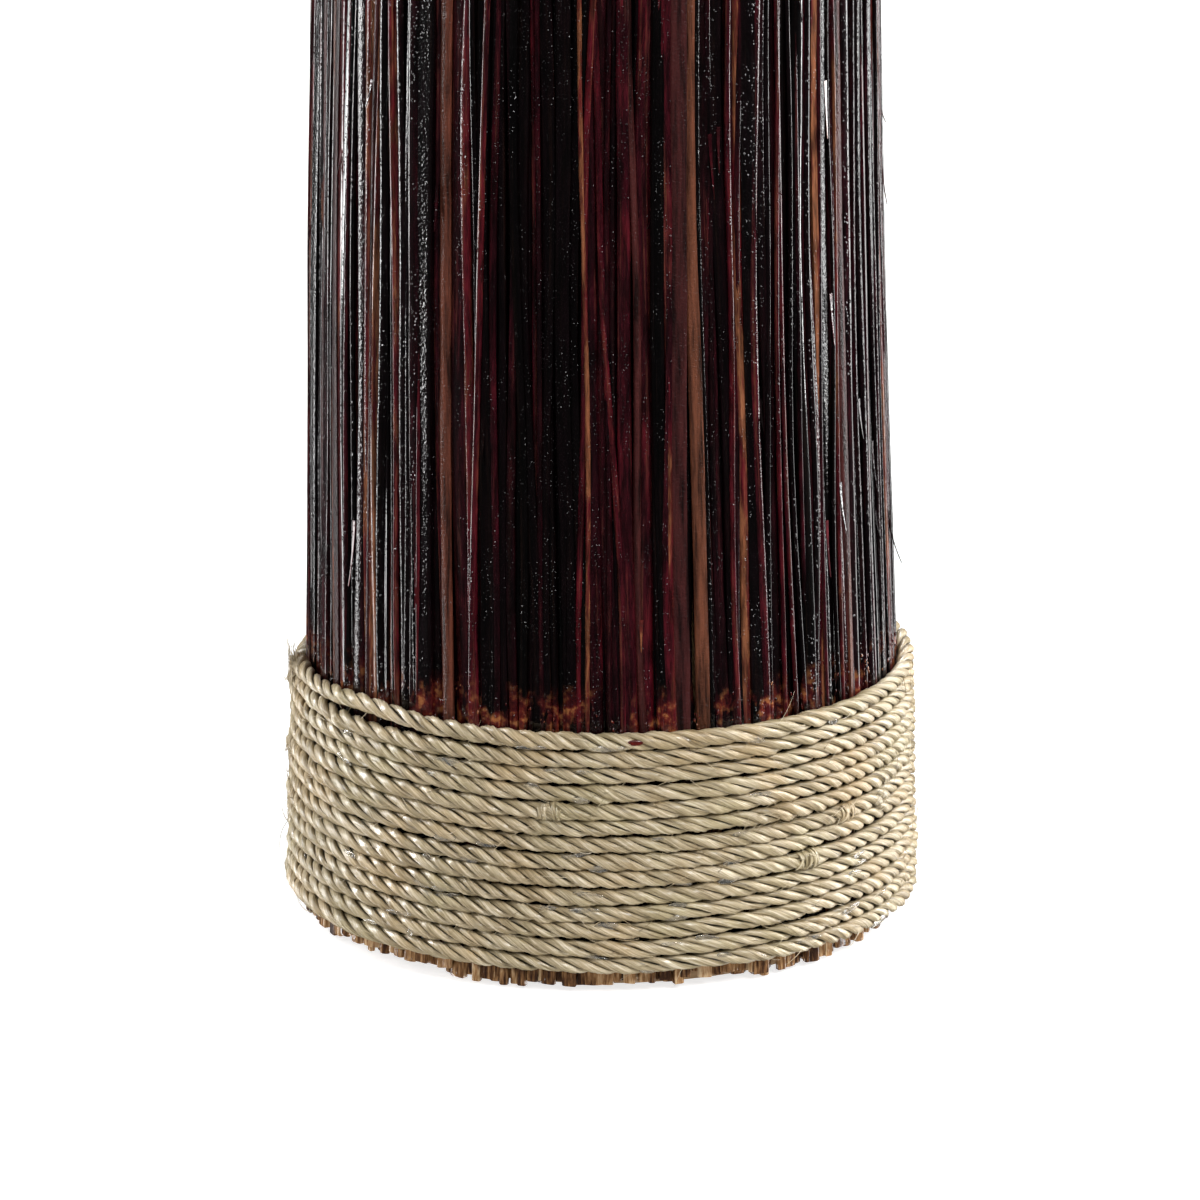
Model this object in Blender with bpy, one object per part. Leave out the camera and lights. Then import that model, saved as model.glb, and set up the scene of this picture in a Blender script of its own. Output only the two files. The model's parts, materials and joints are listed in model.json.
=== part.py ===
"""A free-standing tiki torch: a reed-clad column bound with rope, holding a lift-out oil canister.

The column is a conical plywood tube on a weighted base disc. Lacquered reeds are glued round it in
bundles and bound by a rope at the foot and another below the crown. A steel cup hangs in the
top ring. The oil canister stands in the cup, and a screwed collar holds its burner plate, wick tube,
wick and hinged snuffer.

Metres, +Z up, origin on the floor at the column's axis.
"""

import math

import bmesh
import bpy
from mathutils import Matrix, Vector

GAP = 0.0003  # between pieces that touch on the real torch
CUT_PAST = 0.0010  # how far a cutter reaches past what it cuts

# The reed cladding: a cone that narrows from the foot to the crown.
FOOT_RADIUS = 0.1053
CROWN_RADIUS = 0.0900
CROWN_HEIGHT = 0.6700
REED_MAT = 0.0095  # thickness of the two layers of reeds
FLUTE_DEPTH = 0.0014
BUNDLES = 24
REEDS_PER_BUNDLE = 5
REED_FOOT_HEIGHT = 0.0006
REED_FOOT_STEP = 0.0007
REED_TIP_STEP = 0.0024

# The rope bindings.
ROPE_DIAMETER = 0.0061
ROPE_VALLEY = 0.55  # share of the thickness that is left between two turns
BASE_ROPE_BOTTOM = 0.0080
BASE_ROPE_TURNS = 14
TOP_ROPE_BOTTOM = 0.5530
TOP_ROPE_TURNS = 9

# The column inside the reeds.
BASE_DISC_THICKNESS = 0.0120
TUBE_WALL = 0.0030
TUBE_TOP = 0.5980
TOP_RING_THICKNESS = 0.0120
COLUMN_SEGMENTS = 2 * BUNDLES  # so that flats meet the backs of the reeds
ROPE_SEGMENTS = 32
METAL_SEGMENTS = 32

# The ballast and its bolt.
BALLAST_RADIUS = 0.0860
BALLAST_HEIGHT = 0.0620
BALLAST_CHAMFER = 0.0040
BOLT_RADIUS = 0.0040
BOLT_HEAD_RADIUS = 0.0085
BOLT_HEAD_HEIGHT = 0.0053
COUNTERBORE_RADIUS = 0.0110
COUNTERBORE_DEPTH = 0.0060
WASHER_RADIUS = 0.0120
WASHER_THICKNESS = 0.0020
NUT_RADIUS = 0.0075
NUT_HEIGHT = 0.0065
BOLT_THREAD_PAST_NUT = 0.0030

# The steel cup in the top ring.
CUP_INNER_RADIUS = 0.0580
CUP_WALL = 0.0010
CUP_DEPTH = 0.1190
CUP_CORNER = 0.0040
FLANGE_RADIUS = 0.0760
FLANGE_THICKNESS = 0.0012
SCREW_CIRCLE = 0.0680
SCREW_COUNT = 4
SCREW_RADIUS = 0.0016
SCREW_HEAD_RADIUS = 0.0036
SCREW_HEAD_HEIGHT = 0.0022
SCREW_CROWN = 0.6  # width of the flat on the head, as a share
SCREW_RIM = 0.4  # height of the head's edge, as a share
SCREW_LENGTH = 0.0095
SCREW_HOLE_EXTRA = 0.0010

# The oil canister.
CANISTER_RADIUS = 0.0565
CANISTER_WALL = 0.0010
CANISTER_CORNER = 0.0050
SEAM_WIDTH = 0.0025
CANISTER_SHOULDER = 0.0960  # height of the straight side
NECK_RADIUS = 0.0370
SHOULDER_RISE = 0.0120
NECK_HEIGHT = 0.0160
NECK_BLEND = 0.0060  # from the shoulder cone in to the neck
NECK_BLEND_RISE = 0.0020
NECK_BLEND_INSIDE = 0.0055
GASKET_THICKNESS = 0.0015
GASKET_WIDTH = 0.0060

# The burner: plate, wick tube, collar and wick.
PLATE_RADIUS = 0.0365
PLATE_THICKNESS = 0.0012
PLATE_RISE = 0.0050
PLATE_STEP_RADIUS = 0.0180
PLATE_STEP_SLOPE = 0.0050
WICK_RADIUS = 0.0062
WICK_TUBE_BORE = 0.0070
WICK_TUBE_RADIUS = 0.0080
WICK_TUBE_BELOW = 0.0280
WICK_TUBE_ABOVE = 0.0270
TUBE_FLANGE_RADIUS = 0.0120
TUBE_FLANGE_THICKNESS = 0.0012
WICK_SHOWING = 0.0110
WICK_OFF_FLOOR = 0.0120
COLLAR_BORE = 0.0376
COLLAR_RADIUS = 0.0412
COLLAR_LIP_RADIUS = 0.0305
COLLAR_TOP = 0.0014
COLLAR_SKIRT = 0.0135
COLLAR_CHAMFER = 0.0008
COLLAR_CHAMFER_HEIGHT = 0.0012
KNURLS = 30
KNURL_DEPTH = 0.0007

# The snuffer and its hinge.
HINGE_REACH = 0.0190
HINGE_RISE = 0.0030  # above the snuffer's rim
PIN_RADIUS = 0.0011
PIN_BORE = 0.0014
PIN_HEAD_RADIUS = 0.0020
PIN_HEAD_THICKNESS = 0.0010
CLIP_BELOW_RIM = 0.0012
CLIP_HEIGHT = 0.0070
CLIP_WALL = 0.0014
WEB_ABOVE_CLIP_FOOT = 0.0008
WEB_BELOW_CLIP_TOP = 0.0004
WEB_SLOPE_START = 0.0030
EAR_THICKNESS = 0.0014
EAR_RADIUS = 0.0030
ARM_WIDTH = 0.0050
ARM_THICKNESS = 0.0016
ARM_TIP = 0.0040  # past the column's axis
ARM_BEND_RUN = 0.0045
ARM_BEND_DROP = 0.0040
ARM_BEND_RUN_INSIDE = 0.0055
ARM_BEND_DROP_INSIDE = 0.0046
KNUCKLE_RADIUS = 0.0026
CAP_RADIUS = 0.0130
CAP_WALL = 0.0010
CAP_HEIGHT = 0.0270
CAP_RIM_BELOW_TUBE = 0.0090
CAP_CROWN_THICKNESS = 0.0011
BELL = (  # share of the radius, drop from the top outside and inside, share of the wall
    (0.50, 0.0008, 0.0019, 0.5),
    (0.86, 0.0045, 0.0053, 1.0),
    (1.00, 0.0110, 0.0113, 1.0),
)
STEM_RADIUS = 0.0014
RIVET_RADIUS = 0.0028
RIVET_THICKNESS = 0.0009
RIVET_PLAY = 0.0001
KNOB_RADIUS = 0.0048
KNOB_FOOT_RADIUS = 0.0030
KNOB_FOOT_HEIGHT = 0.0008
KNOB_TOP_RISE = 0.0005
KNOB_STEPS = (-50, -20, 10, 40, 65)  # degrees round the ball

COLOURS = {
    "reed": ((0.045, 0.012, 0.012), 0.28, 0.0),
    "rope": ((0.47, 0.40, 0.25), 0.80, 0.0),
    "plywood": ((0.48, 0.31, 0.16), 0.70, 0.0),
    "cement": ((0.42, 0.41, 0.39), 0.90, 0.0),
    "zinc_steel": ((0.60, 0.61, 0.62), 0.35, 1.0),
    "black_steel": ((0.020, 0.020, 0.022), 0.40, 0.0),
    "bare_steel": ((0.56, 0.56, 0.57), 0.30, 1.0),
    "brass": ((0.62, 0.40, 0.15), 0.32, 1.0),
    "rubber": ((0.02, 0.02, 0.02), 0.75, 0.0),
    "wick": ((0.74, 0.70, 0.60), 0.90, 0.0),
}


def clear_scene():
    for thing in list(bpy.data.objects):
        bpy.data.objects.remove(thing)


def material(slot):
    found = bpy.data.materials.get(slot)
    if found:
        return found
    colour, roughness, metallic = COLOURS[slot]
    made = bpy.data.materials.new(slot)
    made.use_nodes = True
    shader = made.node_tree.nodes["Principled BSDF"]
    shader.inputs["Base Color"].default_value = (*colour, 1.0)
    shader.inputs["Roughness"].default_value = roughness
    shader.inputs["Metallic"].default_value = metallic
    made.diffuse_color = (*colour, 1.0)
    return made


def finish(name, bm, slot, sharp_degrees=35.0):
    """Turns a bmesh into a named object, shaded smooth away from its sharp edges."""
    bmesh.ops.recalc_face_normals(bm, faces=bm.faces)
    mesh = bpy.data.meshes.new(name)
    bm.to_mesh(mesh)
    bm.free()
    mesh.materials.append(material(slot))
    mesh.shade_smooth()
    mesh.set_sharp_from_angle(angle=math.radians(sharp_degrees))
    made = bpy.data.objects.new(name, mesh)
    bpy.context.scene.collection.objects.link(made)
    return made


def turned(name, profile, slot, segments=METAL_SEGMENTS):
    """A solid of revolution about Z from a closed outline of (radius, height) points."""
    bm = bmesh.new()
    points = [bm.verts.new((radius, 0.0, height)) for radius, height in profile]
    for first, second in zip(points, points[1:] + points[:1]):
        if abs(first.co.x) + abs(second.co.x) > 0.0:
            bm.edges.new((first, second))
    bmesh.ops.spin(
        bm,
        geom=bm.verts[:] + bm.edges[:],
        axis=(0.0, 0.0, 1.0),
        cent=(0.0, 0.0, 0.0),
        angle=math.tau,
        steps=segments,
        use_merge=True,
    )
    bmesh.ops.remove_doubles(bm, verts=bm.verts, dist=1e-6)
    return finish(name, bm, slot)


def lofted(name, rings, slot, sharp_degrees=35.0):
    """A closed solid through rings of equal point count, capped flat at both ends."""
    bm = bmesh.new()
    loops = [[bm.verts.new(point) for point in ring] for ring in rings]
    count = len(loops[0])
    for lower, upper in zip(loops, loops[1:]):
        for i in range(count):
            j = (i + 1) % count
            bm.faces.new((lower[i], lower[j], upper[j], upper[i]))
    bm.faces.new(reversed(loops[0]))
    bm.faces.new(loops[-1])
    return finish(name, bm, slot, sharp_degrees)


def cylinder(name, radius, low, high, slot, segments=16, axis="Z", centre=(0.0, 0.0)):
    """A plain cylinder. Along Y, centre is its (x, z); along Z, its (x, y)."""
    bm = bmesh.new()
    bmesh.ops.create_cone(
        bm,
        cap_ends=True,
        segments=segments,
        radius1=radius,
        radius2=radius,
        depth=high - low,
    )
    middle = (low + high) / 2
    if axis == "Y":
        bmesh.ops.rotate(bm, verts=bm.verts, matrix=Matrix.Rotation(math.pi / 2, 3, "X"))
        place = Vector((centre[0], middle, centre[1]))
    else:
        place = Vector((centre[0], centre[1], middle))
    bmesh.ops.translate(bm, verts=bm.verts, vec=place)
    return finish(name, bm, slot)


def as_helper(thing):
    thing.hide_render = True
    thing.display_type = "WIRE"
    return thing


def combine(target, other, operation):
    """Cuts other out of target, or joins it on, and keeps other as a hidden helper."""
    modifier = target.modifiers.new(operation.lower() + "_" + other.name, "BOOLEAN")
    modifier.operation = operation
    modifier.solver = "EXACT"
    modifier.object = as_helper(other)


def reed_radius(height):
    """Outer radius of the reed cladding at a height."""
    return FOOT_RADIUS + (CROWN_RADIUS - FOOT_RADIUS) * height / CROWN_HEIGHT


def reed_outline(height, start, end):
    """One bundle's cross-section: rounded reeds outside, the glued back inside."""
    outer = reed_radius(height)
    inner = outer - REED_MAT
    side_gap = GAP / 2 / outer
    start, end = start + side_gap, end - side_gap
    points = []
    for reed in range(REEDS_PER_BUNDLE):
        for share, depth in ((0.0, FLUTE_DEPTH), (0.5, 0.0)):
            angle = start + (end - start) * (reed + share) / REEDS_PER_BUNDLE
            points.append((angle, outer - depth))
    points.append((end, outer - FLUTE_DEPTH))
    points += [(end, inner), ((start + end) / 2, inner), (start, inner)]
    return [
        (radius * math.cos(angle), radius * math.sin(angle), height)
        for angle, radius in points
    ]


def reed_bundles():
    """The cladding, in wedges of glued reeds whose feet and tips are cut unevenly."""
    wedge = math.tau / BUNDLES
    for number in range(BUNDLES):
        foot = REED_FOOT_HEIGHT + REED_FOOT_STEP * (number * 5 % 4)
        tip = CROWN_HEIGHT - REED_TIP_STEP * (number * 7 % 4)
        rings = [reed_outline(h, number * wedge, (number + 1) * wedge) for h in (foot, tip)]
        lofted(f"reed_bundle_{number + 1:02d}", rings, "reed", sharp_degrees=60.0)


def rope_band(name, bottom, turns):
    """A wound rope's outer shape: a sleeve on the reeds with one rib for each turn."""
    flats = math.cos(math.pi / ROPE_SEGMENTS)
    outline = []
    for turn in range(turns):
        low = bottom + turn * ROPE_DIAMETER
        surface = reed_radius(low + ROPE_DIAMETER / 2) + GAP
        for share, depth in ((0.0, ROPE_VALLEY), (0.5, 1.0)):
            outline.append((surface + depth * ROPE_DIAMETER, low + share * ROPE_DIAMETER))
    top = bottom + turns * ROPE_DIAMETER
    outline.append((reed_radius(top) + GAP + ROPE_VALLEY * ROPE_DIAMETER, top))
    outline += [((reed_radius(h) + GAP) / flats, h) for h in (top, bottom)]
    return turned(name, outline, "rope", ROPE_SEGMENTS)


def core_radius(height):
    """Outer radius of the plywood tube, which the reeds are glued to."""
    return reed_radius(height) - REED_MAT - GAP


def hex_prism(name, radius, low, high, slot):
    return cylinder(name, radius, low, high, slot, segments=6)


def base_and_ballast():
    disc_radius = core_radius(BASE_DISC_THICKNESS)
    bore = BOLT_RADIUS + GAP
    disc = [
        (bore, BASE_DISC_THICKNESS),
        (disc_radius, BASE_DISC_THICKNESS),
        (disc_radius, 0.0),
        (COUNTERBORE_RADIUS, 0.0),
        (COUNTERBORE_RADIUS, COUNTERBORE_DEPTH),
        (bore, COUNTERBORE_DEPTH),
    ]
    turned("base_disc", disc, "plywood", COLUMN_SEGMENTS)
    low = BASE_DISC_THICKNESS + GAP
    high = low + BALLAST_HEIGHT
    ballast = [
        (bore, low),
        (BALLAST_RADIUS, low),
        (BALLAST_RADIUS, high - BALLAST_CHAMFER),
        (BALLAST_RADIUS - BALLAST_CHAMFER, high),
        (bore, high),
    ]
    turned("ballast_block", ballast, "cement")
    washer = high + GAP
    outline = ring_outline(bore, WASHER_RADIUS, washer, WASHER_THICKNESS)
    turned("ballast_washer", outline, "zinc_steel", 16)
    nut = washer + WASHER_THICKNESS + GAP
    hex_nut = hex_prism("ballast_nut", NUT_RADIUS, nut, nut + NUT_HEIGHT, "zinc_steel")
    drill = cylinder(
        "nut_drill", bore, nut - CUT_PAST, nut + NUT_HEIGHT + CUT_PAST, "zinc_steel", 12
    )
    combine(hex_nut, drill, "DIFFERENCE")
    bolt_low = COUNTERBORE_DEPTH - BOLT_HEAD_HEIGHT - GAP
    bolt_high = nut + NUT_HEIGHT + BOLT_THREAD_PAST_NUT
    bolt = hex_prism("ballast_bolt", BOLT_HEAD_RADIUS, bolt_low, bolt_low + BOLT_HEAD_HEIGHT, "zinc_steel")
    shank = cylinder(
        "bolt_shank", BOLT_RADIUS, bolt_low + BOLT_HEAD_HEIGHT / 2, bolt_high, "zinc_steel", 12
    )
    combine(bolt, shank, "UNION")


def ring_outline(inner, outer, low, thickness):
    high = low + thickness
    return [(inner, low), (outer, low), (outer, high), (inner, high)]


def column():
    """The conical plywood tube and the ring that closes it round the cup."""
    low = BASE_DISC_THICKNESS + GAP
    outer = [(core_radius(h), h) for h in (low, TUBE_TOP)]
    inner = [(radius - TUBE_WALL, height) for radius, height in reversed(outer)]
    turned("core_tube", outer + inner, "plywood", COLUMN_SEGMENTS)
    ring_low = TUBE_TOP + GAP
    hole = CUP_INNER_RADIUS + CUP_WALL + GAP
    rim = core_radius(ring_low + TOP_RING_THICKNESS)
    outline = ring_outline(hole, rim, ring_low, TOP_RING_THICKNESS)
    ring = turned("top_ring", outline, "plywood", COLUMN_SEGMENTS)
    for number, (x, y) in enumerate(screw_places()):
        drill = cylinder(
            f"ring_drill_{number + 1}",
            SCREW_RADIUS + GAP,
            ring_low + TOP_RING_THICKNESS - SCREW_LENGTH - SCREW_HOLE_EXTRA,
            ring_low + TOP_RING_THICKNESS + CUT_PAST,
            "plywood",
            8,
            centre=(x, y),
        )
        combine(ring, drill, "DIFFERENCE")


def screw_places():
    turns = [(number + 0.5) / SCREW_COUNT * math.tau for number in range(SCREW_COUNT)]
    return [(SCREW_CIRCLE * math.cos(a), SCREW_CIRCLE * math.sin(a)) for a in turns]


FLANGE_BOTTOM = TUBE_TOP + GAP + TOP_RING_THICKNESS + GAP
FLANGE_TOP = FLANGE_BOTTOM + FLANGE_THICKNESS
CUP_FLOOR = FLANGE_TOP - CUP_DEPTH + CUP_WALL


def cup():
    """The steel socket that hangs in the top ring by its flange, with its four screws."""
    outer = CUP_INNER_RADIUS + CUP_WALL
    corner = CUP_CORNER
    outline = [
        (0.0, CUP_FLOOR - CUP_WALL),
        (outer - corner, CUP_FLOOR - CUP_WALL),
        (outer, CUP_FLOOR - CUP_WALL + corner),
        (outer, FLANGE_BOTTOM),
        (FLANGE_RADIUS, FLANGE_BOTTOM),
        (FLANGE_RADIUS, FLANGE_TOP),
        (CUP_INNER_RADIUS, FLANGE_TOP),
        (CUP_INNER_RADIUS, CUP_FLOOR + corner),
        (CUP_INNER_RADIUS - corner, CUP_FLOOR),
        (0.0, CUP_FLOOR),
    ]
    made = turned("burner_cup", outline, "black_steel")
    for number, (x, y) in enumerate(screw_places()):
        drill = cylinder(
            f"flange_drill_{number + 1}",
            SCREW_RADIUS + GAP,
            FLANGE_BOTTOM - CUT_PAST,
            FLANGE_TOP + CUT_PAST,
            "black_steel",
            8,
            centre=(x, y),
        )
        combine(made, drill, "DIFFERENCE")
        head = FLANGE_TOP + GAP
        outline = [
            (0.0, head + SCREW_HEAD_HEIGHT),
            (SCREW_HEAD_RADIUS * SCREW_CROWN, head + SCREW_HEAD_HEIGHT),
            (SCREW_HEAD_RADIUS, head + SCREW_HEAD_HEIGHT * SCREW_RIM),
            (SCREW_HEAD_RADIUS, head),
            (SCREW_RADIUS, head),
            (SCREW_RADIUS, head - SCREW_LENGTH),
            (0.0, head - SCREW_LENGTH),
        ]
        screw = turned(f"cup_screw_{number + 1}", outline, "zinc_steel", 10)
        screw.location = (x, y, 0.0)


CANISTER_BOTTOM = CUP_FLOOR + GAP
SHOULDER = CANISTER_BOTTOM + CANISTER_SHOULDER
NECK_BOTTOM = SHOULDER + SHOULDER_RISE
NECK_TOP = NECK_BOTTOM + NECK_HEIGHT


def canister():
    """The oil canister: a drawn steel can, its top with a screw neck, and the neck's gasket."""
    corner = CANISTER_CORNER
    wall = CANISTER_WALL
    can = [
        (0.0, CANISTER_BOTTOM),
        (CANISTER_RADIUS - corner, CANISTER_BOTTOM),
        (CANISTER_RADIUS, CANISTER_BOTTOM + corner),
        (CANISTER_RADIUS, SHOULDER),
        (CANISTER_RADIUS - wall, SHOULDER),
        (CANISTER_RADIUS - wall, CANISTER_BOTTOM + corner),
        (CANISTER_RADIUS - corner, CANISTER_BOTTOM + wall),
        (0.0, CANISTER_BOTTOM + wall),
    ]
    turned("canister_can", can, "bare_steel")
    seam = SHOULDER + GAP
    top = [
        (CANISTER_RADIUS, seam),
        (CANISTER_RADIUS, seam + wall),
        (NECK_RADIUS + NECK_BLEND, NECK_BOTTOM - NECK_BLEND_RISE),
        (NECK_RADIUS, NECK_BOTTOM),
        (NECK_RADIUS, NECK_TOP),
        (NECK_RADIUS - wall, NECK_TOP),
        (NECK_RADIUS - wall, NECK_BOTTOM - wall),
        (NECK_RADIUS + NECK_BLEND_INSIDE, NECK_BOTTOM - NECK_BLEND_RISE - wall),
        (CANISTER_RADIUS - SEAM_WIDTH, seam),
    ]
    turned("canister_top", top, "bare_steel")
    low = NECK_TOP + GAP
    outline = ring_outline(NECK_RADIUS - GASKET_WIDTH, NECK_RADIUS, low, GASKET_THICKNESS)
    turned("neck_gasket", outline, "rubber")


PLATE_BOTTOM = NECK_TOP + GAP + GASKET_THICKNESS + GAP
PLATE_TOP = PLATE_BOTTOM + PLATE_THICKNESS
TUBE_FLANGE_BOTTOM = PLATE_TOP + PLATE_RISE + GAP
WICK_TUBE_TOP = TUBE_FLANGE_BOTTOM + WICK_TUBE_ABOVE
CAP_RIM = WICK_TUBE_TOP - CAP_RIM_BELOW_TUBE
CAP_TOP = CAP_RIM + CAP_HEIGHT
HINGE_HEIGHT = CAP_RIM + HINGE_RISE


def burner():
    """The raised plate, the flanged wick tube in it, and the wick that hangs into the oil."""
    hole = WICK_TUBE_RADIUS + GAP
    step = PLATE_STEP_RADIUS
    slope_end = PLATE_STEP_RADIUS + PLATE_STEP_SLOPE
    plate = [
        (hole, PLATE_BOTTOM + PLATE_RISE),
        (step, PLATE_BOTTOM + PLATE_RISE),
        (slope_end, PLATE_BOTTOM),
        (PLATE_RADIUS, PLATE_BOTTOM),
        (PLATE_RADIUS, PLATE_TOP),
        (slope_end, PLATE_TOP),
        (step, PLATE_TOP + PLATE_RISE),
        (hole, PLATE_TOP + PLATE_RISE),
    ]
    turned("burner_plate", plate, "brass")
    flange_top = TUBE_FLANGE_BOTTOM + TUBE_FLANGE_THICKNESS
    tube = [
        (WICK_TUBE_BORE, TUBE_FLANGE_BOTTOM - WICK_TUBE_BELOW),
        (WICK_TUBE_RADIUS, TUBE_FLANGE_BOTTOM - WICK_TUBE_BELOW),
        (WICK_TUBE_RADIUS, TUBE_FLANGE_BOTTOM),
        (TUBE_FLANGE_RADIUS, TUBE_FLANGE_BOTTOM),
        (TUBE_FLANGE_RADIUS, flange_top),
        (WICK_TUBE_RADIUS, flange_top),
        (WICK_TUBE_RADIUS, WICK_TUBE_TOP),
        (WICK_TUBE_BORE, WICK_TUBE_TOP),
    ]
    turned("wick_tube", tube, "brass", 20)
    wick_low = CANISTER_BOTTOM + CANISTER_WALL + WICK_OFF_FLOOR
    cylinder("wick", WICK_RADIUS, wick_low, WICK_TUBE_TOP + WICK_SHOWING, "wick", 16)


def collar():
    """The knurled screw collar: its lip clamps the burner plate down on the gasket."""
    low = PLATE_TOP + GAP - COLLAR_SKIRT
    lip = PLATE_TOP + GAP
    top = lip + COLLAR_TOP
    rings = []
    for height, flute in ((low, 1.0), (top - COLLAR_CHAMFER_HEIGHT, 1.0), (top, 0.0)):
        ring = []
        for step in range(2 * KNURLS):
            depth = KNURL_DEPTH * (step % 2) * flute + COLLAR_CHAMFER * (1.0 - flute)
            angle = math.pi * step / KNURLS
            radius = COLLAR_RADIUS - depth
            ring.append((radius * math.cos(angle), radius * math.sin(angle), height))
        rings.append(ring)
    made = lofted("collar_ring", rings, "brass")
    inside = [
        (0.0, low - CUT_PAST),
        (COLLAR_BORE, low - CUT_PAST),
        (COLLAR_BORE, lip),
        (COLLAR_LIP_RADIUS, lip),
        (COLLAR_LIP_RADIUS, top + CUT_PAST),
        (0.0, top + CUT_PAST),
    ]
    combine(made, turned("collar_bore", inside, "brass"), "DIFFERENCE")


def hinge():
    """The clip on the wick tube with two ears, and the pin through them."""
    clip_top = CAP_RIM - CLIP_BELOW_RIM
    clip_low = clip_top - CLIP_HEIGHT
    bore = WICK_TUBE_RADIUS + GAP
    clip_radius = bore + CLIP_WALL
    bracket = turned(
        "hinge_bracket", ring_outline(bore, clip_radius, clip_low, CLIP_HEIGHT), "brass", 20
    )
    outer = ARM_WIDTH / 2 + GAP + EAR_THICKNESS
    inner = ARM_WIDTH / 2 + GAP
    near = -bore - CLIP_WALL / 2
    web_low, web_high = clip_low + WEB_ABOVE_CLIP_FOOT, clip_top - WEB_BELOW_CLIP_TOP
    for side, (low, high) in enumerate(((-outer, -inner), (inner, outer))):
        web = [
            (near, web_low),
            (near, web_high),
            (-HINGE_REACH + EAR_RADIUS, web_high),
            (-HINGE_REACH + EAR_RADIUS, HINGE_HEIGHT),
            *(
                (
                    -HINGE_REACH + EAR_RADIUS * math.cos(angle),
                    HINGE_HEIGHT + EAR_RADIUS * math.sin(angle),
                )
                for angle in (math.pi * step / 6 for step in range(1, 7))
            ),
            (-HINGE_REACH - EAR_RADIUS, clip_low + WEB_SLOPE_START),
            (-HINGE_REACH + EAR_RADIUS, web_low),
        ]
        ear = lofted(f"ear_{side + 1}", [[(x, y, z) for x, z in web] for y in (low, high)], "brass")
        combine(bracket, ear, "UNION")
    drill = cylinder(
        "ear_drill", PIN_BORE, -outer - CUT_PAST, outer + CUT_PAST, "brass", 12, "Y",
        (-HINGE_REACH, HINGE_HEIGHT),
    )
    combine(bracket, drill, "DIFFERENCE")
    head = PIN_HEAD_THICKNESS
    ends = outer + GAP
    pin = [
        (0.0, -ends - head),
        (PIN_HEAD_RADIUS, -ends - head),
        (PIN_HEAD_RADIUS, -ends),
        (PIN_RADIUS, -ends),
        (PIN_RADIUS, ends),
        (PIN_HEAD_RADIUS, ends),
        (PIN_HEAD_RADIUS, ends + head),
        (0.0, ends + head),
    ]
    made = turned("hinge_pin", pin, "zinc_steel", 12)
    made.rotation_euler = (math.pi / 2, 0.0, 0.0)
    made.location = (-HINGE_REACH, 0.0, HINGE_HEIGHT)


def on_hinge(thing):
    """Moves the object's origin onto the snuffer's hinge axis, leaving its shape in place."""
    pivot = Vector((-HINGE_REACH, 0.0, HINGE_HEIGHT))
    thing.data.transform(Matrix.Translation(-pivot))
    thing.location = pivot


def snuffer():
    """The bell that covers the wick, the bent arm that carries it, and its knob."""
    hole = STEM_RADIUS + GAP
    outside = [(CAP_RADIUS * share, CAP_TOP - drop) for share, drop, _, _ in BELL]
    inside = [
        (CAP_RADIUS * share - CAP_WALL * thinning, CAP_TOP - drop) for share, _, drop, thinning in BELL
    ]
    bell = [
        (hole, CAP_TOP),
        *outside,
        (CAP_RADIUS, CAP_RIM),
        (CAP_RADIUS - CAP_WALL, CAP_RIM),
        *reversed(inside),
        (hole, CAP_TOP - CAP_CROWN_THICKNESS),
    ]
    on_hinge(turned("snuffer_cap", bell, "brass", 24))
    half = ARM_WIDTH / 2
    top = CAP_TOP + GAP
    outer_x = -HINGE_REACH - KNUCKLE_RADIUS
    inner_x = outer_x + ARM_THICKNESS
    side = [
        (outer_x, HINGE_HEIGHT),
        (outer_x, top - ARM_BEND_DROP),
        (outer_x + ARM_BEND_RUN, top + ARM_THICKNESS),
        (ARM_TIP, top + ARM_THICKNESS),
        (ARM_TIP, top),
        (outer_x + ARM_BEND_RUN_INSIDE, top),
        (inner_x, top - ARM_BEND_DROP_INSIDE),
        (inner_x, HINGE_HEIGHT),
    ]
    arm = lofted("snuffer_arm", [[(x, y, z) for x, z in side] for y in (-half, half)], "brass")
    knuckle = cylinder(
        "arm_knuckle", KNUCKLE_RADIUS, -half, half, "brass", 16, "Y", (-HINGE_REACH, HINGE_HEIGHT)
    )
    combine(arm, knuckle, "UNION")
    drill = cylinder(
        "arm_drill", PIN_BORE, -half - CUT_PAST, half + CUT_PAST, "brass", 12, "Y",
        (-HINGE_REACH, HINGE_HEIGHT),
    )
    combine(arm, drill, "DIFFERENCE")
    stem_drill = cylinder(
        "stem_drill", hole, top - CUT_PAST, top + ARM_THICKNESS + CUT_PAST, "brass", 12
    )
    combine(arm, stem_drill, "DIFFERENCE")
    seat = top + ARM_THICKNESS + GAP
    crown = [
        (KNOB_RADIUS * math.cos(a), seat + KNOB_FOOT_HEIGHT + KNOB_RADIUS * (1.0 + math.sin(a)))
        for a in map(math.radians, KNOB_STEPS)
    ]
    rivet_top = CAP_TOP - CAP_CROWN_THICKNESS - GAP - RIVET_PLAY
    knob = [
        (0.0, rivet_top - RIVET_THICKNESS),
        (RIVET_RADIUS, rivet_top - RIVET_THICKNESS),
        (RIVET_RADIUS, rivet_top),
        (STEM_RADIUS, rivet_top),
        (STEM_RADIUS, seat),
        (KNOB_FOOT_RADIUS, seat),
        *crown,
        (0.0, crown[-1][1] + KNOB_TOP_RISE),
    ]
    on_hinge(turned("snuffer_knob", knob, "brass", 16))


def main():
    clear_scene()
    base_and_ballast()
    column()
    reed_bundles()
    rope_band("base_rope", BASE_ROPE_BOTTOM, BASE_ROPE_TURNS)
    rope_band("top_rope", TOP_ROPE_BOTTOM, TOP_ROPE_TURNS)
    cup()
    canister()
    burner()
    collar()
    hinge()
    snuffer()


main()
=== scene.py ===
import json
import math

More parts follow.
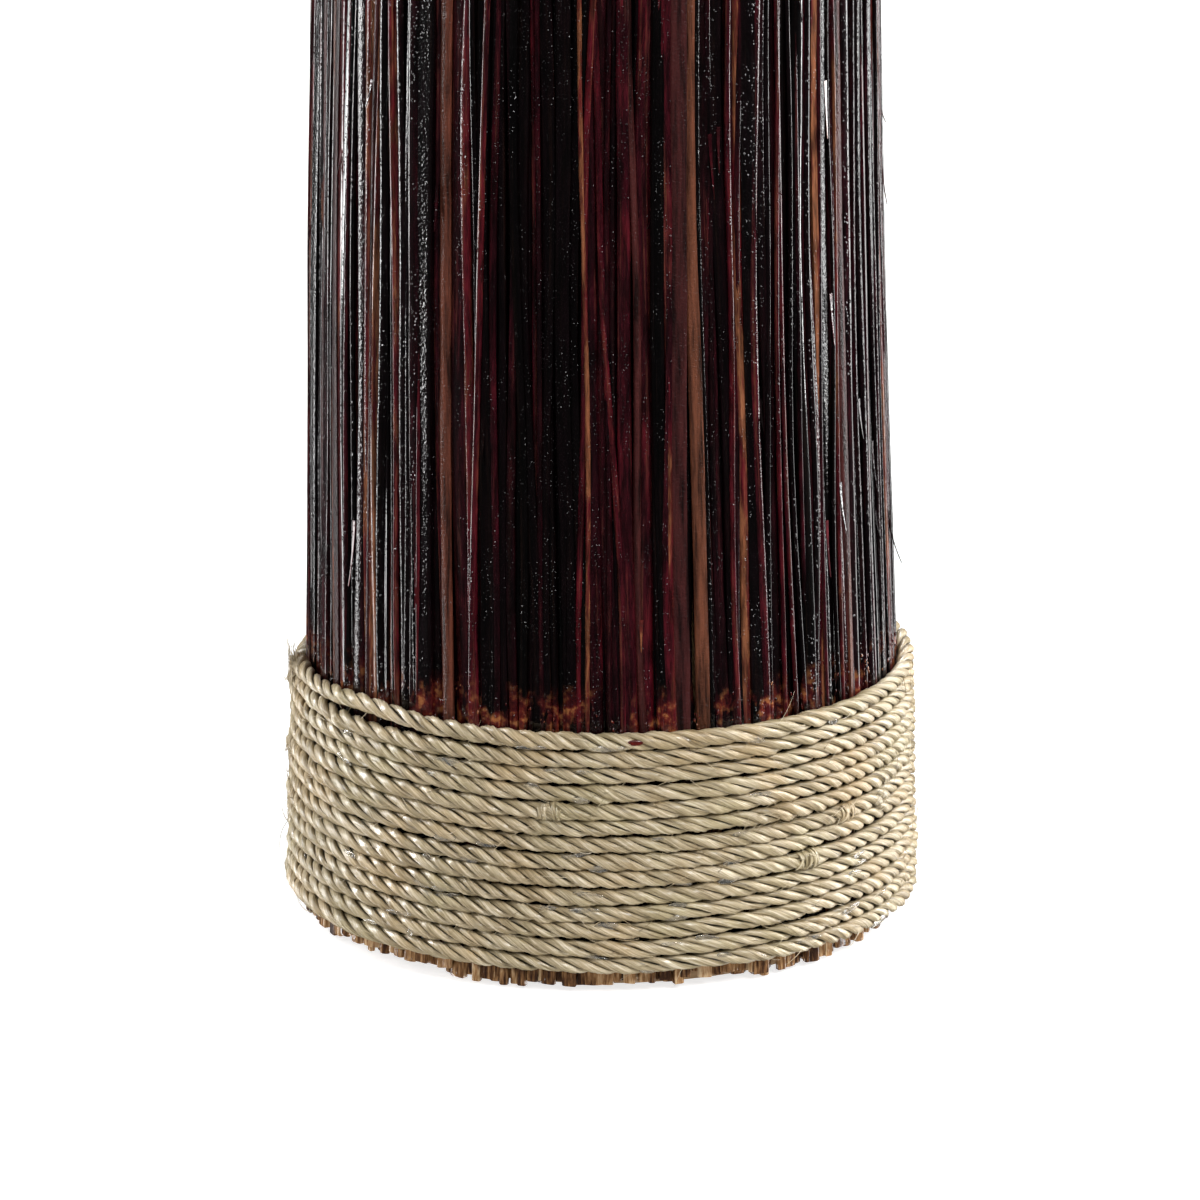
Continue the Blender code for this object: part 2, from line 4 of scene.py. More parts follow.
import bmesh
import bpy
import numpy as np
from mathutils import Matrix, Vector


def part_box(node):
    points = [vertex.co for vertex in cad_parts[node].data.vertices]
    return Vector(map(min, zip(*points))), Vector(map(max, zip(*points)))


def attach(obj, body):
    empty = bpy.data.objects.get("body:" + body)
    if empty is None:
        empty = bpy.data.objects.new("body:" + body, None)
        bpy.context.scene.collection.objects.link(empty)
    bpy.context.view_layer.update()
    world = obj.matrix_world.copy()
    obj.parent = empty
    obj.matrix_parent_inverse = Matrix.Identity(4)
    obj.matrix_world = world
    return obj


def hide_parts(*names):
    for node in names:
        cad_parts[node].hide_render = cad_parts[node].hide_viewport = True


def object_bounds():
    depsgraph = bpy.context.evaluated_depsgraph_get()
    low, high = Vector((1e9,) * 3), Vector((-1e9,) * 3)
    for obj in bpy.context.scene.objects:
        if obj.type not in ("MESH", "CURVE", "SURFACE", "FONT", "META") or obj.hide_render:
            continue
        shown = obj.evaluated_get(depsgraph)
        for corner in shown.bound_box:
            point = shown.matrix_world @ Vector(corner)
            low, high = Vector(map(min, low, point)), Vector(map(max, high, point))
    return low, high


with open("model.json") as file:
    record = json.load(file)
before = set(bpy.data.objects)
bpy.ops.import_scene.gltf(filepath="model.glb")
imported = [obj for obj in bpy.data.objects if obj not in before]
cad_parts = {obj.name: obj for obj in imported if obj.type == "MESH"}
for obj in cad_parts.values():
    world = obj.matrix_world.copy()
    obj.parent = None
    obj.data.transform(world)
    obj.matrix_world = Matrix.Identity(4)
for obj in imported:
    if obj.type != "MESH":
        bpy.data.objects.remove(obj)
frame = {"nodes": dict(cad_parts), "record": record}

MM = 0.001
cad_low, cad_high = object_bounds()
rng = np.random.default_rng(41)

# ---------------------------------------------------------------- camera

VIEW_ELEVATION = math.radians(16.5)
VIEW_DISTANCE = 3.5
VIEW_WIDTH = 0.420  # what the frame spans at the column's axis
VIEW_HEIGHT = 0.1093  # the point of the axis at the frame's middle
VIEW_SIDE = -0.9 * MM
VIEW_ROLL = math.radians(0.2)
SENSOR = 36.0


def make_camera():
    data = bpy.data.cameras.new("camera")
    data.sensor_width = SENSOR
    data.lens = SENSOR * VIEW_DISTANCE / VIEW_WIDTH
    data.clip_start = 0.05
    data.clip_end = 100.0
    camera = bpy.data.objects.new("camera", data)
    bpy.context.scene.collection.objects.link(camera)
    away = Vector((0.0, math.cos(VIEW_ELEVATION), -math.sin(VIEW_ELEVATION)))
    aim = Vector((VIEW_SIDE, 0.0, VIEW_HEIGHT))
    camera.location = aim - away * VIEW_DISTANCE
    turn = Matrix.Rotation(VIEW_ROLL, 4, "Z")
    camera.matrix_world = (
        Matrix.Translation(camera.location) @ away.to_track_quat("-Z", "Y").to_matrix().to_4x4() @ turn
    )
    bpy.context.scene.camera = camera


# ---------------------------------------------------------------- shader helpers


class Shader:
    """A Principled material with short calls for the nodes that feed it."""

    def __init__(self, name):
        self.material = bpy.data.materials.new(name)
        self.material.use_nodes = True
        self.nodes = self.material.node_tree.nodes
        self.links = self.material.node_tree.links
        self.principled = self.nodes["Principled BSDF"]

    def set(self, **values):
        for key, value in values.items():
            self.principled.inputs[key.replace("_", " ")].default_value = value

    def link(self, socket, key):
        self.links.new(socket, self.principled.inputs[key])

    def feed(self, node, key, value):
        if isinstance(value, bpy.types.NodeSocket):
            self.links.new(value, node.inputs[key])
        elif value is not None:
            node.inputs[key].default_value = value

    def place(self):
        return self.nodes.new("ShaderNodeTexCoord").outputs["Object"]

    def mark(self, name, output="Fac"):
        node = self.nodes.new("ShaderNodeAttribute")
        node.attribute_name = name
        return node.outputs[output]

    def stretch(self, vector, scale):
        node = self.nodes.new("ShaderNodeMapping")
        self.feed(node, "Vector", vector)
        node.inputs["Scale"].default_value = scale
        return node.outputs["Vector"]

    def noise(self, vector, scale, detail=3.0, roughness=0.55, distortion=0.0):
        node = self.nodes.new("ShaderNodeTexNoise")
        self.feed(node, "Vector", vector)
        node.inputs["Scale"].default_value = scale
        node.inputs["Detail"].default_value = detail
        node.inputs["Roughness"].default_value = roughness
        node.inputs["Distortion"].default_value = distortion
        return node.outputs["Fac"]

    def cells(self, vector, scale, feature="F1", output="Distance"):
        node = self.nodes.new("ShaderNodeTexVoronoi")
        node.feature = feature
        self.feed(node, "Vector", vector)
        node.inputs["Scale"].default_value = scale
        return node.outputs[output]

    def ramp(self, value, *stops):
        """Colours against a value; a stop is (place, colour or grey)."""
        node = self.nodes.new("ShaderNodeValToRGB")
        self.feed(node, "Fac", value)
        ramp = node.color_ramp
        for index, (place, colour) in enumerate(stops):
            if index < 2:
                stop = ramp.elements[index]
                stop.position = place
            else:
                stop = ramp.elements.new(place)
            rgb = (colour,) * 3 if isinstance(colour, (int, float)) else colour
            stop.color = (*rgb, 1.0)
        return node.outputs["Color"]

    def math(self, operation, first, second=None):
        node = self.nodes.new("ShaderNodeMath")
        node.operation = operation
        self.feed(node, 0, first)
        self.feed(node, 1, second)
        return node.outputs[0]

    def mix(self, share, first, second, mode="MIX"):
        node = self.nodes.new("ShaderNodeMix")
        node.data_type = "RGBA"
        node.blend_type = mode
        self.feed(node, 0, share)
        for key, value in ((6, first), (7, second)):
            if isinstance(value, tuple) and len(value) == 3:
                value = (*value, 1.0)
            self.feed(node, key, value)
        return node.outputs[2]

    def bump(self, height, strength, distance, normal=None):
        node = self.nodes.new("ShaderNodeBump")
        self.feed(node, "Height", height)
        node.inputs["Strength"].default_value = strength
        node.inputs["Distance"].default_value = distance
        self.feed(node, "Normal", normal)
        return node.outputs["Normal"]


# ---------------------------------------------------------------- mesh helpers


class Sweep:
    """Gathers swept tubes into one mesh, with the point attributes that the materials read."""

    def __init__(self):
        self.points = []
        self.corners = []
        self.starts = []
        self.marks = {}
        self.count = 0

    def add(self, centres, across, out, section, **marks):
        """section holds (rings, around, 2) offsets along across and out; marks are per ring or whole."""
        rings, around = section.shape[:2]
        points = (
            centres[:, None, :]
            + section[..., 0:1] * across[:, None, :]
            + section[..., 1:2] * out[:, None, :]
        )
        self.points.append(points.reshape(-1, 3))
        ring = np.arange(rings - 1)[:, None] * around
        near = np.arange(around)[None, :]
        far = (near + 1) % around
        quads = np.stack((ring + near, ring + far, ring + around + far, ring + around + near), axis=-1)
        self.corners.append(quads.reshape(-1, 4) + self.count)
        low = np.arange(around)[::-1] + self.count
        high = np.arange(around) + (rings - 1) * around + self.count
        self.starts.append((low, high))
        for name, value in marks.items():
            value = np.asarray(value, dtype=float)
            if value.ndim == 0:
                value = np.full(rings * around, value)
            elif value.ndim == 1 and len(value) == rings:
                value = np.repeat(value, around)
            self.marks.setdefault(name, []).append(value.reshape(rings * around, -1))
        self.count += rings * around

    def build(self, name, material, sharp_degrees=None):
        mesh = bpy.data.meshes.new(name)
        points = np.concatenate(self.points)
        quads = np.concatenate(self.corners)
        caps = [cap for pair in self.starts for cap in pair]
        corners = np.concatenate([quads.ravel(), *caps])
        sizes = np.concatenate([np.full(len(quads), 4), [len(cap) for cap in caps]])
        starts = np.concatenate([[0], np.cumsum(sizes)[:-1]])
        mesh.vertices.add(len(points))
        mesh.vertices.foreach_set("co", points.astype(np.float32).ravel())
        mesh.loops.add(len(corners))
        mesh.loops.foreach_set("vertex_index", corners.astype(np.int32))
        mesh.polygons.add(len(sizes))
        mesh.polygons.foreach_set("loop_start", starts.astype(np.int32))
        mesh.update(calc_edges=True)
        mesh.validate()
        for mark, values in self.marks.items():
            values = np.concatenate(values)
            if values.shape[1] == 1:
                layer = mesh.attributes.new(mark, "FLOAT", "POINT")
                layer.data.foreach_set("value", values.astype(np.float32).ravel())
            else:
                layer = mesh.attributes.new(mark, "FLOAT_VECTOR", "POINT")
                layer.data.foreach_set("vector", values.astype(np.float32).ravel())
        mesh.shade_smooth()
        if sharp_degrees:
            mesh.set_sharp_from_angle(angle=math.radians(sharp_degrees))
        mesh.materials.append(material)
        made = bpy.data.objects.new(name, mesh)
        bpy.context.scene.collection.objects.link(made)
        return made


def wander(along, wavelength, octaves=3):
    """Smooth noise of about -1 to 1 along a length, different at each call."""
    total = np.zeros_like(along)
    for octave in range(octaves):
        period = wavelength / 2**octave * rng.uniform(0.8, 1.25)
        total += np.sin(along / period * math.tau + rng.uniform(0, math.tau)) / 1.6**octave
    return total / 1.9


# ---------------------------------------------------------------- the reeds


def cladding_profile():
    """Heights and outer radii of the CAD reeds at foot, waist and tip."""
    points = np.array([v.co for v in frame["nodes"]["reed_bundle_01"].data.vertices])
    radius = np.hypot(points[:, 0], points[:, 1])
    heights = np.unique(points[:, 2].round(4))
    return heights, np.array([radius[np.abs(points[:, 2] - h) < 1e-3].max() for h in heights])


PROFILE_HEIGHTS, PROFILE_RADII = cladding_profile()


def reed_radius(height):
    return np.interp(height, PROFILE_HEIGHTS, PROFILE_RADII)


BUNDLES = 24
OUTER_REEDS = 7
INNER_REEDS = 6
STEMS = 4
SLIVERS = 60
LEATHERY_SHARE = 0.08
LEAN = -3.0 * MM  # how far the waist of the reeds bows to one side
FOOT_RADIUS = float(reed_radius(0.0))
RING_STEP = 6.0 * MM
AROUND = 12
END_STEPS = (0.0, 0.25, 1.2, 3.0)
RAW_FOOT = 9.0 * MM  # how far the bare, cut wood shows past the lacquer
RAW_TIP = 2.5 * MM


def reed_heights(foot, tip):
    """Ring heights: even steps, closer at the cut ends."""
    even = np.arange(foot + RING_STEP, tip - RING_STEP, RING_STEP)
    ends = [foot + d * MM for d in END_STEPS] + [tip - d * MM for d in END_STEPS]
    return np.unique(np.concatenate([even, ends]).round(5))


def reed_section(z, width, thick, boxy, ridges):
    """The outline at each height: flat-faced for a split slat, rounder for a stem."""
    around = np.linspace(0, math.tau, AROUND, endpoint=False) + 0.13
    side = np.sign(np.cos(around)) * np.abs(np.cos(around)) ** boxy
    face = np.sign(np.sin(around)) * np.abs(np.sin(around)) ** boxy
    ridge = 1.0 + ridges * rng.standard_normal(AROUND)
    swell = 1.0 + 0.06 * wander(z, 0.12) + 0.02 * wander(z, 0.03)
    trimmed = np.minimum(z - z[0], z[-1] - z)
    swell *= np.where(trimmed < 0.2 * MM, 0.92, 1.0)
    tilt = rng.normal(0.0, 0.17) + 0.12 * wander(z, 0.5, 2)
    x = (width / 2 * swell)[:, None] * side * ridge
    y = (thick / 2 * swell)[:, None] * face * ridge
    cos, sin = np.cos(tilt)[:, None], np.sin(tilt)[:, None]
    return np.stack((x * cos - y * sin, x * sin + y * cos), axis=-1)


def add_reed(sweep, angle, width, thick, depth, foot, tip, lean, tone, boxy=None):
    z = reed_heights(foot, tip)
    radius = reed_radius(z)
    bow = (wander(z, 0.55, 2) + 0.7 * wander(z, 0.2, 1)) * rng.uniform(0.3, 2.2) * MM
    turned = angle + (lean * (z - 0.3) + bow) / radius
    sunk = depth + wander(z, 0.40, 2) * 0.5 * MM
    if boxy is None:
        boxy = rng.choice((0.35, 0.6, 0.85, 1.0)) + rng.uniform(-0.08, 0.08)
    section = reed_section(z, width, thick, boxy, rng.choice((0.01, 0.03, 0.09)))
    out = np.stack((np.cos(turned), np.sin(turned), 0 * z), axis=-1)
    across = np.stack((np.sin(turned), -np.cos(turned), 0 * z), axis=-1)
    centres = out * (radius - sunk - thick / 2)[:, None]
    centres[:, 0] += LEAN * np.sin(np.clip((z - 0.09) / 0.46, 0.0, 1.0) * math.pi)
    centres[:, 2] = z
    grain = np.empty((len(z), AROUND, 3))
    grain[..., :2] = section + rng.uniform(0, 5, 2)
    grain[..., 2] = z[:, None]
    raw = np.maximum(np.exp(-(z - foot) / RAW_FOOT), np.exp(-(tip - z) / RAW_TIP))
    sweep.add(centres, across, out, section, grain=grain.reshape(-1, 3), tone=tone, raw=raw)


def make_reeds(material, leathery):
    wedge = math.tau / BUNDLES
    rough = Sweep()
    for number in range(BUNDLES):
        name = f"reed_bundle_{number + 1:02d}"
        low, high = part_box(name)
        foot, tip = low.z, high.z
        sweep = Sweep()
        shares = rng.uniform(0.5, 1.5, OUTER_REEDS)
        shares /= shares.sum()
        for share, middle in zip(shares, np.cumsum(shares) - shares / 2):
            bare = rng.uniform() < LEATHERY_SHARE
            add_reed(
                rough if bare else sweep,
                (number + middle) * wedge,
                share * wedge * FOOT_RADIUS * rng.uniform(0.98, 1.18),
                thick=rng.uniform(2.0, 3.4) * MM,
                depth=rng.uniform(-0.3, 0.6 if bare else 1.9) * MM,
                foot=foot + rng.uniform(0.0, 1.8) * MM,
                tip=tip - rng.uniform(0.0, 4.0) * MM,
                lean=rng.normal(0.0, 0.005),
                tone=rng.uniform(),
            )
        for index in range(INNER_REEDS):
            add_reed(
                sweep,
                (number + (index + rng.normal(0, 0.12)) / INNER_REEDS) * wedge,
                rng.uniform(5.0, 6.6) * MM,
                thick=rng.uniform(3.0, 4.0) * MM,
                depth=rng.uniform(2.2, 3.4) * MM,
                foot=foot + rng.uniform(0.0, 2.5) * MM,
                tip=tip - rng.uniform(0.0, 9.0) * MM,
                lean=rng.normal(0.0, 0.004),
                tone=rng.uniform(0.0, 0.5),
            )
        for _ in range(STEMS):
            add_reed(
                rough if rng.uniform() < LEATHERY_SHARE else sweep,
                (number + rng.uniform()) * wedge,
                rng.uniform(1.4, 2.6) * MM,
                thick=rng.uniform(1.4, 2.2) * MM,
                depth=rng.uniform(-0.6, 0.4) * MM,
                foot=foot + rng.uniform(20.0, 70.0) * MM,
                tip=tip - rng.uniform(2.0, 12.0) * MM,
                lean=rng.normal(0.0, 0.012),
                tone=rng.uniform(),
                boxy=1.0,
            )
        made = sweep.build("reeds_" + name[-2:], material, sharp_degrees=55)
        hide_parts(name)
        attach(made, "column")
    made = rough.build("leathery_reeds", leathery, sharp_degrees=55)
    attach(made, "column")


def bare_wood(shader, tone, grain):
    """Colours of the cut, unlacquered ends."""
    pores = shader.noise(shader.stretch(grain, (900, 900, 120)), 1.0, 3.0, 0.6)
    return shader.ramp(
        shader.math("ADD", shader.math("MULTIPLY", pores, 0.75), shader.math("MULTIPLY", tone, 0.25)),
        (0.36, (0.040, 0.018, 0.010)), (0.46, (0.15, 0.070, 0.028)), (0.56, (0.34, 0.19, 0.085)),
        (0.68, (0.58, 0.42, 0.25)),
    )


def leathery_material():
    """Reeds whose skin took little lacquer: brown, finely wrinkled, with a dull sheen."""
    shader = Shader("leathery_reed")
    grain = shader.mark("grain", "Vector")
    tone = shader.mark("tone")
    place = shader.place()
    mottled = shader.noise(shader.stretch(grain, (420, 420, 26)), 1.0, 5.0, 0.7)
    body = shader.ramp(
        tone,
        (0.00, (0.016, 0.003, 0.004)),
        (0.35, (0.040, 0.009, 0.008)),
        (0.65, (0.066, 0.018, 0.011)),
        (0.88, (0.078, 0.023, 0.012)),
        (1.00, (0.090, 0.030, 0.015)),
    )
    body = shader.mix(1.0, body, shader.ramp(mottled, (0.38, 0.18), (0.50, 0.9), (0.62, 1.5)), "MULTIPLY")
    ends = shader.ramp(shader.mark("raw"), (0.42, 0.0), (0.60, 1.0))
    shader.link(shader.mix(ends, body, bare_wood(shader, tone, grain)), "Base Color")
    shader.link(shader.ramp(mottled, (0.35, 0.50), (0.65, 0.34)), "Roughness")
    shader.set(Coat_Weight=0.35, Coat_Roughness=0.10, Specular_IOR_Level=0.08)
    wrinkles = shader.noise(place, 1000.0, 3.0, 0.6)
    bumped = shader.bump(shader.math("ADD", wrinkles, shader.math("MULTIPLY", mottled, 0.5)), 0.9, 0.5 * MM)
    shader.link(bumped, "Normal")
    shader.link(bumped, "Coat Normal")
    return shader.material


def reed_material():
    shader = Shader("lacquered_reed")
    grain = shader.mark("grain", "Vector")
    tone = shader.mark("tone")
    raw = shader.mark("raw")
    place = shader.place()
    streaks = shader.noise(shader.stretch(grain, (1100, 1100, 9)), 1.0, 3.0, 0.6)
    patches = shader.noise(shader.stretch(grain, (160, 160, 20)), 1.0, 5.0, 0.7)
    shade = shader.math("ADD", tone, shader.math("MULTIPLY", shader.math("SUBTRACT", patches, 0.5), 1.0))
    body = shader.ramp(
        shade,
        (0.00, (0.0006, 0.0003, 0.0004)),
        (0.42, (0.0018, 0.0004, 0.0008)),
        (0.58, (0.0060, 0.0006, 0.0014)),
        (0.74, (0.0190, 0.0012, 0.0030)),
        (0.88, (0.0500, 0.0030, 0.0058)),
        (0.96, (0.0600, 0.0130, 0.0080)),
        (1.00, (0.1100, 0.0380, 0.0170)),
    )
    threads = shader.ramp(streaks, (0.54, 0.0), (0.70, 1.0))
    lively = shader.ramp(shade, (0.62, 0.02), (0.98, 0.6))
    body = shader.mix(shader.math("MULTIPLY", threads, lively), body, (0.140, 0.060, 0.028))
    mottled = shader.noise(shader.stretch(grain, (600, 600, 70)), 1.0, 4.0, 0.7)
    body = shader.mix(1.0, body, shader.ramp(mottled, (0.36, 0.35), (0.50, 1.0), (0.66, 1.8)), "MULTIPLY")
    height = shader.nodes.new("ShaderNodeSeparateXYZ")
    shader.links.new(place, height.inputs[0])
    rope_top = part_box("base_rope")[1].z
    pooled = shader.ramp(
        height.outputs["Z"], (rope_top - 0.006, 0.0), (rope_top, 1.0), (rope_top + 0.016, 0.0)
    )
    blotches = shader.noise(shader.stretch(place, (1, 1, 0.4)), 140.0, 3.0, 0.6)
    blots = shader.ramp(blotches, (0.48, 0.0), (0.62, 1.0))
    pool_tone = shader.noise(place, 330.0, 3.0)
    pool_colour = shader.ramp(
        pool_tone,
        (0.40, (0.050, 0.003, 0.005)),
        (0.52, (0.12, 0.014, 0.009)),
        (0.64, (0.34, 0.12, 0.04)),
    )
    body = shader.mix(shader.math("MULTIPLY", pooled, blots), body, pool_colour)
    bare = shader.math("ADD", raw, shader.math("MULTIPLY", shader.math("SUBTRACT", patches, 0.5), 0.6))
    body = shader.mix(shader.ramp(bare, (0.42, 0.0), (0.60, 1.0)), body, bare_wood(shader, tone, grain))
    shader.link(body, "Base Color")
    cloudy = shader.noise(shader.stretch(grain, (160, 160, 30)), 1.0, 3.0)
    shader.link(shader.ramp(cloudy, (0.3, 0.25), (0.75, 0.5)), "Roughness")
    shader.set(Coat_Weight=0.8, Coat_Roughness=0.05, Coat_IOR=1.5, IOR=1.4, Specular_IOR_Level=0.06)
    lot = shader.math("FRACT", shader.math("MULTIPLY", tone, 13.7))
    leathery = shader.ramp(lot, (0.58, 0.04), (0.70, 1.0))
    leather = shader.math("MULTIPLY", shader.noise(place, 950.0, 2.0, 0.5), leathery)
    pimples = shader.ramp(shader.cells(place, 800.0), (0.04, 1.0), (0.30, 0.0))
    pitted = shader.ramp(
        shader.noise(shader.stretch(grain, (110, 110, 34)), 1.0, 4.0, 0.7), (0.46, 0.0), (0.58, 1.0)
    )
    ripples = shader.noise(shader.stretch(grain, (800, 800, 30)), 1.0, 3.0)
    relief = shader.math("ADD", shader.math("MULTIPLY", leather, 0.9), shader.math("MULTIPLY", ripples, 0.15))
    relief = shader.math("ADD", relief, shader.math("MULTIPLY", pimples, pitted))
    bumped = shader.bump(relief, 0.8, 0.40 * MM)
    shader.link(bumped, "Normal")
    shader.link(bumped, "Coat Normal")
    return shader.material


# ---------------------------------------------------------------- the rope

STRANDS = 3
ROPE_LAY = 25.0 * MM
ROPE_STEP = 1.5 * MM
ROPE_SQUEEZE = 1.00  # the turns press into each other
STRAND_AROUND = 12
STRAND_HALF_ANGLE = math.radians(58.5)  # each strand fills a third of the rope's round section
STRAND_MIDDLE = 0.250  # shares of the rope's diameter
STRAND_REACH = 0.264
STRAND_CROWN = 1.03  # 1 is broad-shouldered, more is narrower
JOG_START = 0.78  # where each turn steps down to the next, as a share of the turn
JOG_END = 0.97
SPLICES = 30  # lumps where a new bunch of fibre was twisted in
WRAPPED_SPLICES = 5  # of them, those with fibre wound around


class Rope:
    """The centre line of one rope wound in a close coil inside its CAD node's box, top end first."""

    def __init__(self, node, turns, start_angle, slack=()):
        low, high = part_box(node)
        self.node = node
        self.pitch = (high.z - low.z) / turns
        self.diameter = self.pitch * ROPE_SQUEEZE
        mean = float(reed_radius((low.z + high.z) / 2)) + self.diameter / 2
        self.length = turns * math.tau * mean
        self.along = along = np.arange(0.0, self.length, ROPE_STEP)
        turn = along / (math.tau * mean)
        self.angle = start_angle + turn * math.tau
        step = np.clip((turn % 1.0 - JOG_START) / (JOG_END - JOG_START), 0.0, 1.0)
        step = step * step * (3.0 - 2.0 * step)
        level = np.minimum(np.floor(turn) + step, turns - 1)
        self.splices = rng.uniform(0.03, 0.97, SPLICES) * self.length
        lump = sum(np.exp(-(((along - s) / (3.0 * MM)) ** 2)) for s in self.splices)
        self.thickness = 1.0 + 0.06 * wander(along, 0.45) + 0.045 * wander(along, 0.04) + 0.16 * lump
        self.height = high.z - self.diameter / 2 - level * self.pitch
        self.height += wander(along, 0.28) * 0.38 * MM + wander(along, 0.07) * 0.20 * MM
        lowest = level / turns
        self.height -= np.cos(self.angle) * lowest**2 * 0.9 * MM
        for at_turn, azimuth, lift in slack:
            share = (along / (math.tau * mean) - at_turn) * math.tau + start_angle - math.radians(azimuth)
            self.height += lift * MM * np.exp(-((share / 0.22) ** 2))
        self.radius = reed_radius(self.height) + (self.diameter / 2) * self.thickness
        self.radius += wander(along, 0.045) * 0.18 * MM + 0.1 * MM
        self.outward = np.stack((np.cos(self.angle), np.sin(self.angle), 0 * along), axis=-1)
        self.forward = np.stack((-np.sin(self.angle), np.cos(self.angle), 0 * along), axis=-1)
        self.up = np.stack((0 * along, 0 * along, 1 + 0 * along), axis=-1)
        self.line = self.outward * self.radius[:, None] + self.up * self.height[:, None]
        self.lay = along / ROPE_LAY * math.tau + wander(along, 0.30, 2) * 2.6

    def at(self, index, lift, swing):
        """A point on the rope's surface: swing is the angle from straight out towards up."""
        reach = self.diameter / 2 * self.thickness[index] + lift
        return (
            self.line[index]
            + self.outward[index] * reach * math.cos(swing)
            + self.up[index] * reach * math.sin(swing)
        )


def rope_strands(rope, name, material):
    """Three plump strands; each section is a rounded third of the rope's circle, turning with the lay."""
    around = np.linspace(0, math.tau, STRAND_AROUND, endpoint=False) + 0.2
    side = np.sin(around) * STRAND_HALF_ANGLE
    reach = np.sign(np.cos(around)) * np.abs(np.cos(around)) ** STRAND_CROWN * STRAND_REACH
    count = len(rope.along)
    for strand in range(STRANDS):
        phase = rope.lay + math.tau * strand / STRANDS + 0.12 * wander(rope.along, 0.05)
        plump = 1.0 + 0.16 * wander(rope.along, 0.045) + 0.08 * wander(rope.along, 0.31)
        scale = rope.diameter * rope.thickness
        distance = scale[:, None] * (STRAND_MIDDLE + reach[None] * plump[:, None])
        distance *= 1.0 + 0.02 * rng.standard_normal((count, STRAND_AROUND))
        angle = phase[:, None] + side[None] * np.minimum(plump, 1.0)[:, None]
        section = np.stack((-np.sin(angle) * distance, np.cos(angle) * distance), axis=-1)
        cos, sin = np.cos(phase)[:, None], np.sin(phase)[:, None]
        grain = np.stack(
            (
                section[..., 0] * cos + section[..., 1] * sin,
                section[..., 1] * cos - section[..., 0] * sin,
                np.repeat(rope.along[:, None], STRAND_AROUND, axis=1),
            ),
            axis=-1,
        )
        sweep = Sweep()
        # tone holds how far each point lies from the rope's axis, as a share of the strand's reach; the rope
        # material paints shade from it into the grooves between strands and between turns.
        tone = distance / (rope.diameter * (STRAND_MIDDLE + STRAND_REACH))
        sweep.add(
            rope.line, rope.up, rope.outward, section,
            grain=grain.reshape(-1, 3) + 0.37 * strand, tone=tone.reshape(-1, 1),
        )
        made = sweep.build(f"{name}_strand_{strand + 1}", material)
        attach(made, "column")
        if strand == 0:
            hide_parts(rope.node)


def rope_fibres(rope, name, material, count):
    """Fine fibres that have worked loose from the strands, thicker on the ground at the splices."""
    sweep = Sweep()
    around = np.linspace(0, math.tau, 3, endpoint=False)
    ring = np.stack((np.cos(around), np.sin(around)), axis=-1)
    share = np.linspace(0.0, 1.0, 6)
    for number in range(count):
        if number % 12 == 0:
            spot = abs(rng.normal(0, 5.0 * MM))
        elif number % 3 == 0:
            spot = rng.choice(rope.splices) + rng.normal(0, 3.0 * MM)
        else:
            spot = rng.uniform(0, rope.length)
        index = int(np.clip(spot / ROPE_STEP, 1, len(rope.along) - 2))
        swing = rng.normal(0.0, 0.8)
        start = rope.at(index, -0.3 * MM, swing)
        away = rope.outward[index] * math.cos(swing) + rope.up[index] * math.sin(swing)
        heading = rope.forward[index] * rng.choice((-1.0, 1.0)) + rope.up[index] * rng.normal(0, 0.6)
        heading /= np.linalg.norm(heading)
        length = rng.uniform(3.0, 11.0) * MM
        rise = rng.uniform(0.05, 0.45) * length
        droop = rng.normal(0.0, 0.3) * length
        path = (
            start
            + heading * (share * length)[:, None]
            + away * (rise * share * (1.6 - share))[:, None]
            + rope.up[index] * (droop * share**2)[:, None]
        )
        side = np.cross(heading, away)
        width = 0.13 * MM * rng.uniform(0.7, 1.6) * (1.0 - 0.6 * share)
        section = width[:, None, None] * ring[None]
        grain = np.zeros((6 * 3, 3)) + rng.uniform(0, 3, 3)
        sweep.add(path, np.tile(side, (6, 1)), np.tile(away, (6, 1)), section, grain=grain, tone=1.0)
    made = sweep.build(name, material)
    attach(made, "column")


def rope_wraps(rope, name, material, count):
    """Thin bunches of fibre wound around the rope, which bind the strands at the splices."""
    sweep = Sweep()
    share = np.linspace(0.0, 1.0, 16)
    around = np.linspace(0, math.tau, 5, endpoint=False)
    ring = np.stack((np.cos(around), np.sin(around)), axis=-1)
    for number in range(count):
        spot = rope.splices[number % WRAPPED_SPLICES] + rng.uniform(-4.0, 4.0) * MM
        index = int(np.clip(spot / ROPE_STEP, 2, len(rope.along) - 3))
        swing = rng.uniform(-1.5, -0.9) + share * rng.uniform(1.8, 3.0)
        slope = rng.normal(0.0, 2.2) * MM
        reach = rope.diameter * 0.5 * rope.thickness[index] - 0.05 * MM
        away = rope.outward[index] * np.cos(swing)[:, None] + rope.up[index] * np.sin(swing)[:, None]
        path = rope.line[index] + away * reach + rope.forward[index] * (slope * (share - 0.5))[:, None]
        width = 0.45 * MM * rng.uniform(0.5, 1.3) * (0.35 + np.sin(share * math.pi) * 0.65)
        section = width[:, None, None] * ring[None] * np.array((1.6, 0.6))
        side = np.tile(rope.forward[index], (len(share), 1))
        along_fibre = np.stack((share * 0, share * 0, share * 8 * MM), axis=-1)
        grain = np.repeat(along_fibre, 5, axis=0) + rng.uniform(0, 3, 3)
        grain[:, :2] += section.reshape(-1, 2)
        sweep.add(path, side, away, section, grain=grain, tone=1.0)
    made = sweep.build(name, material)
    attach(made, "column")


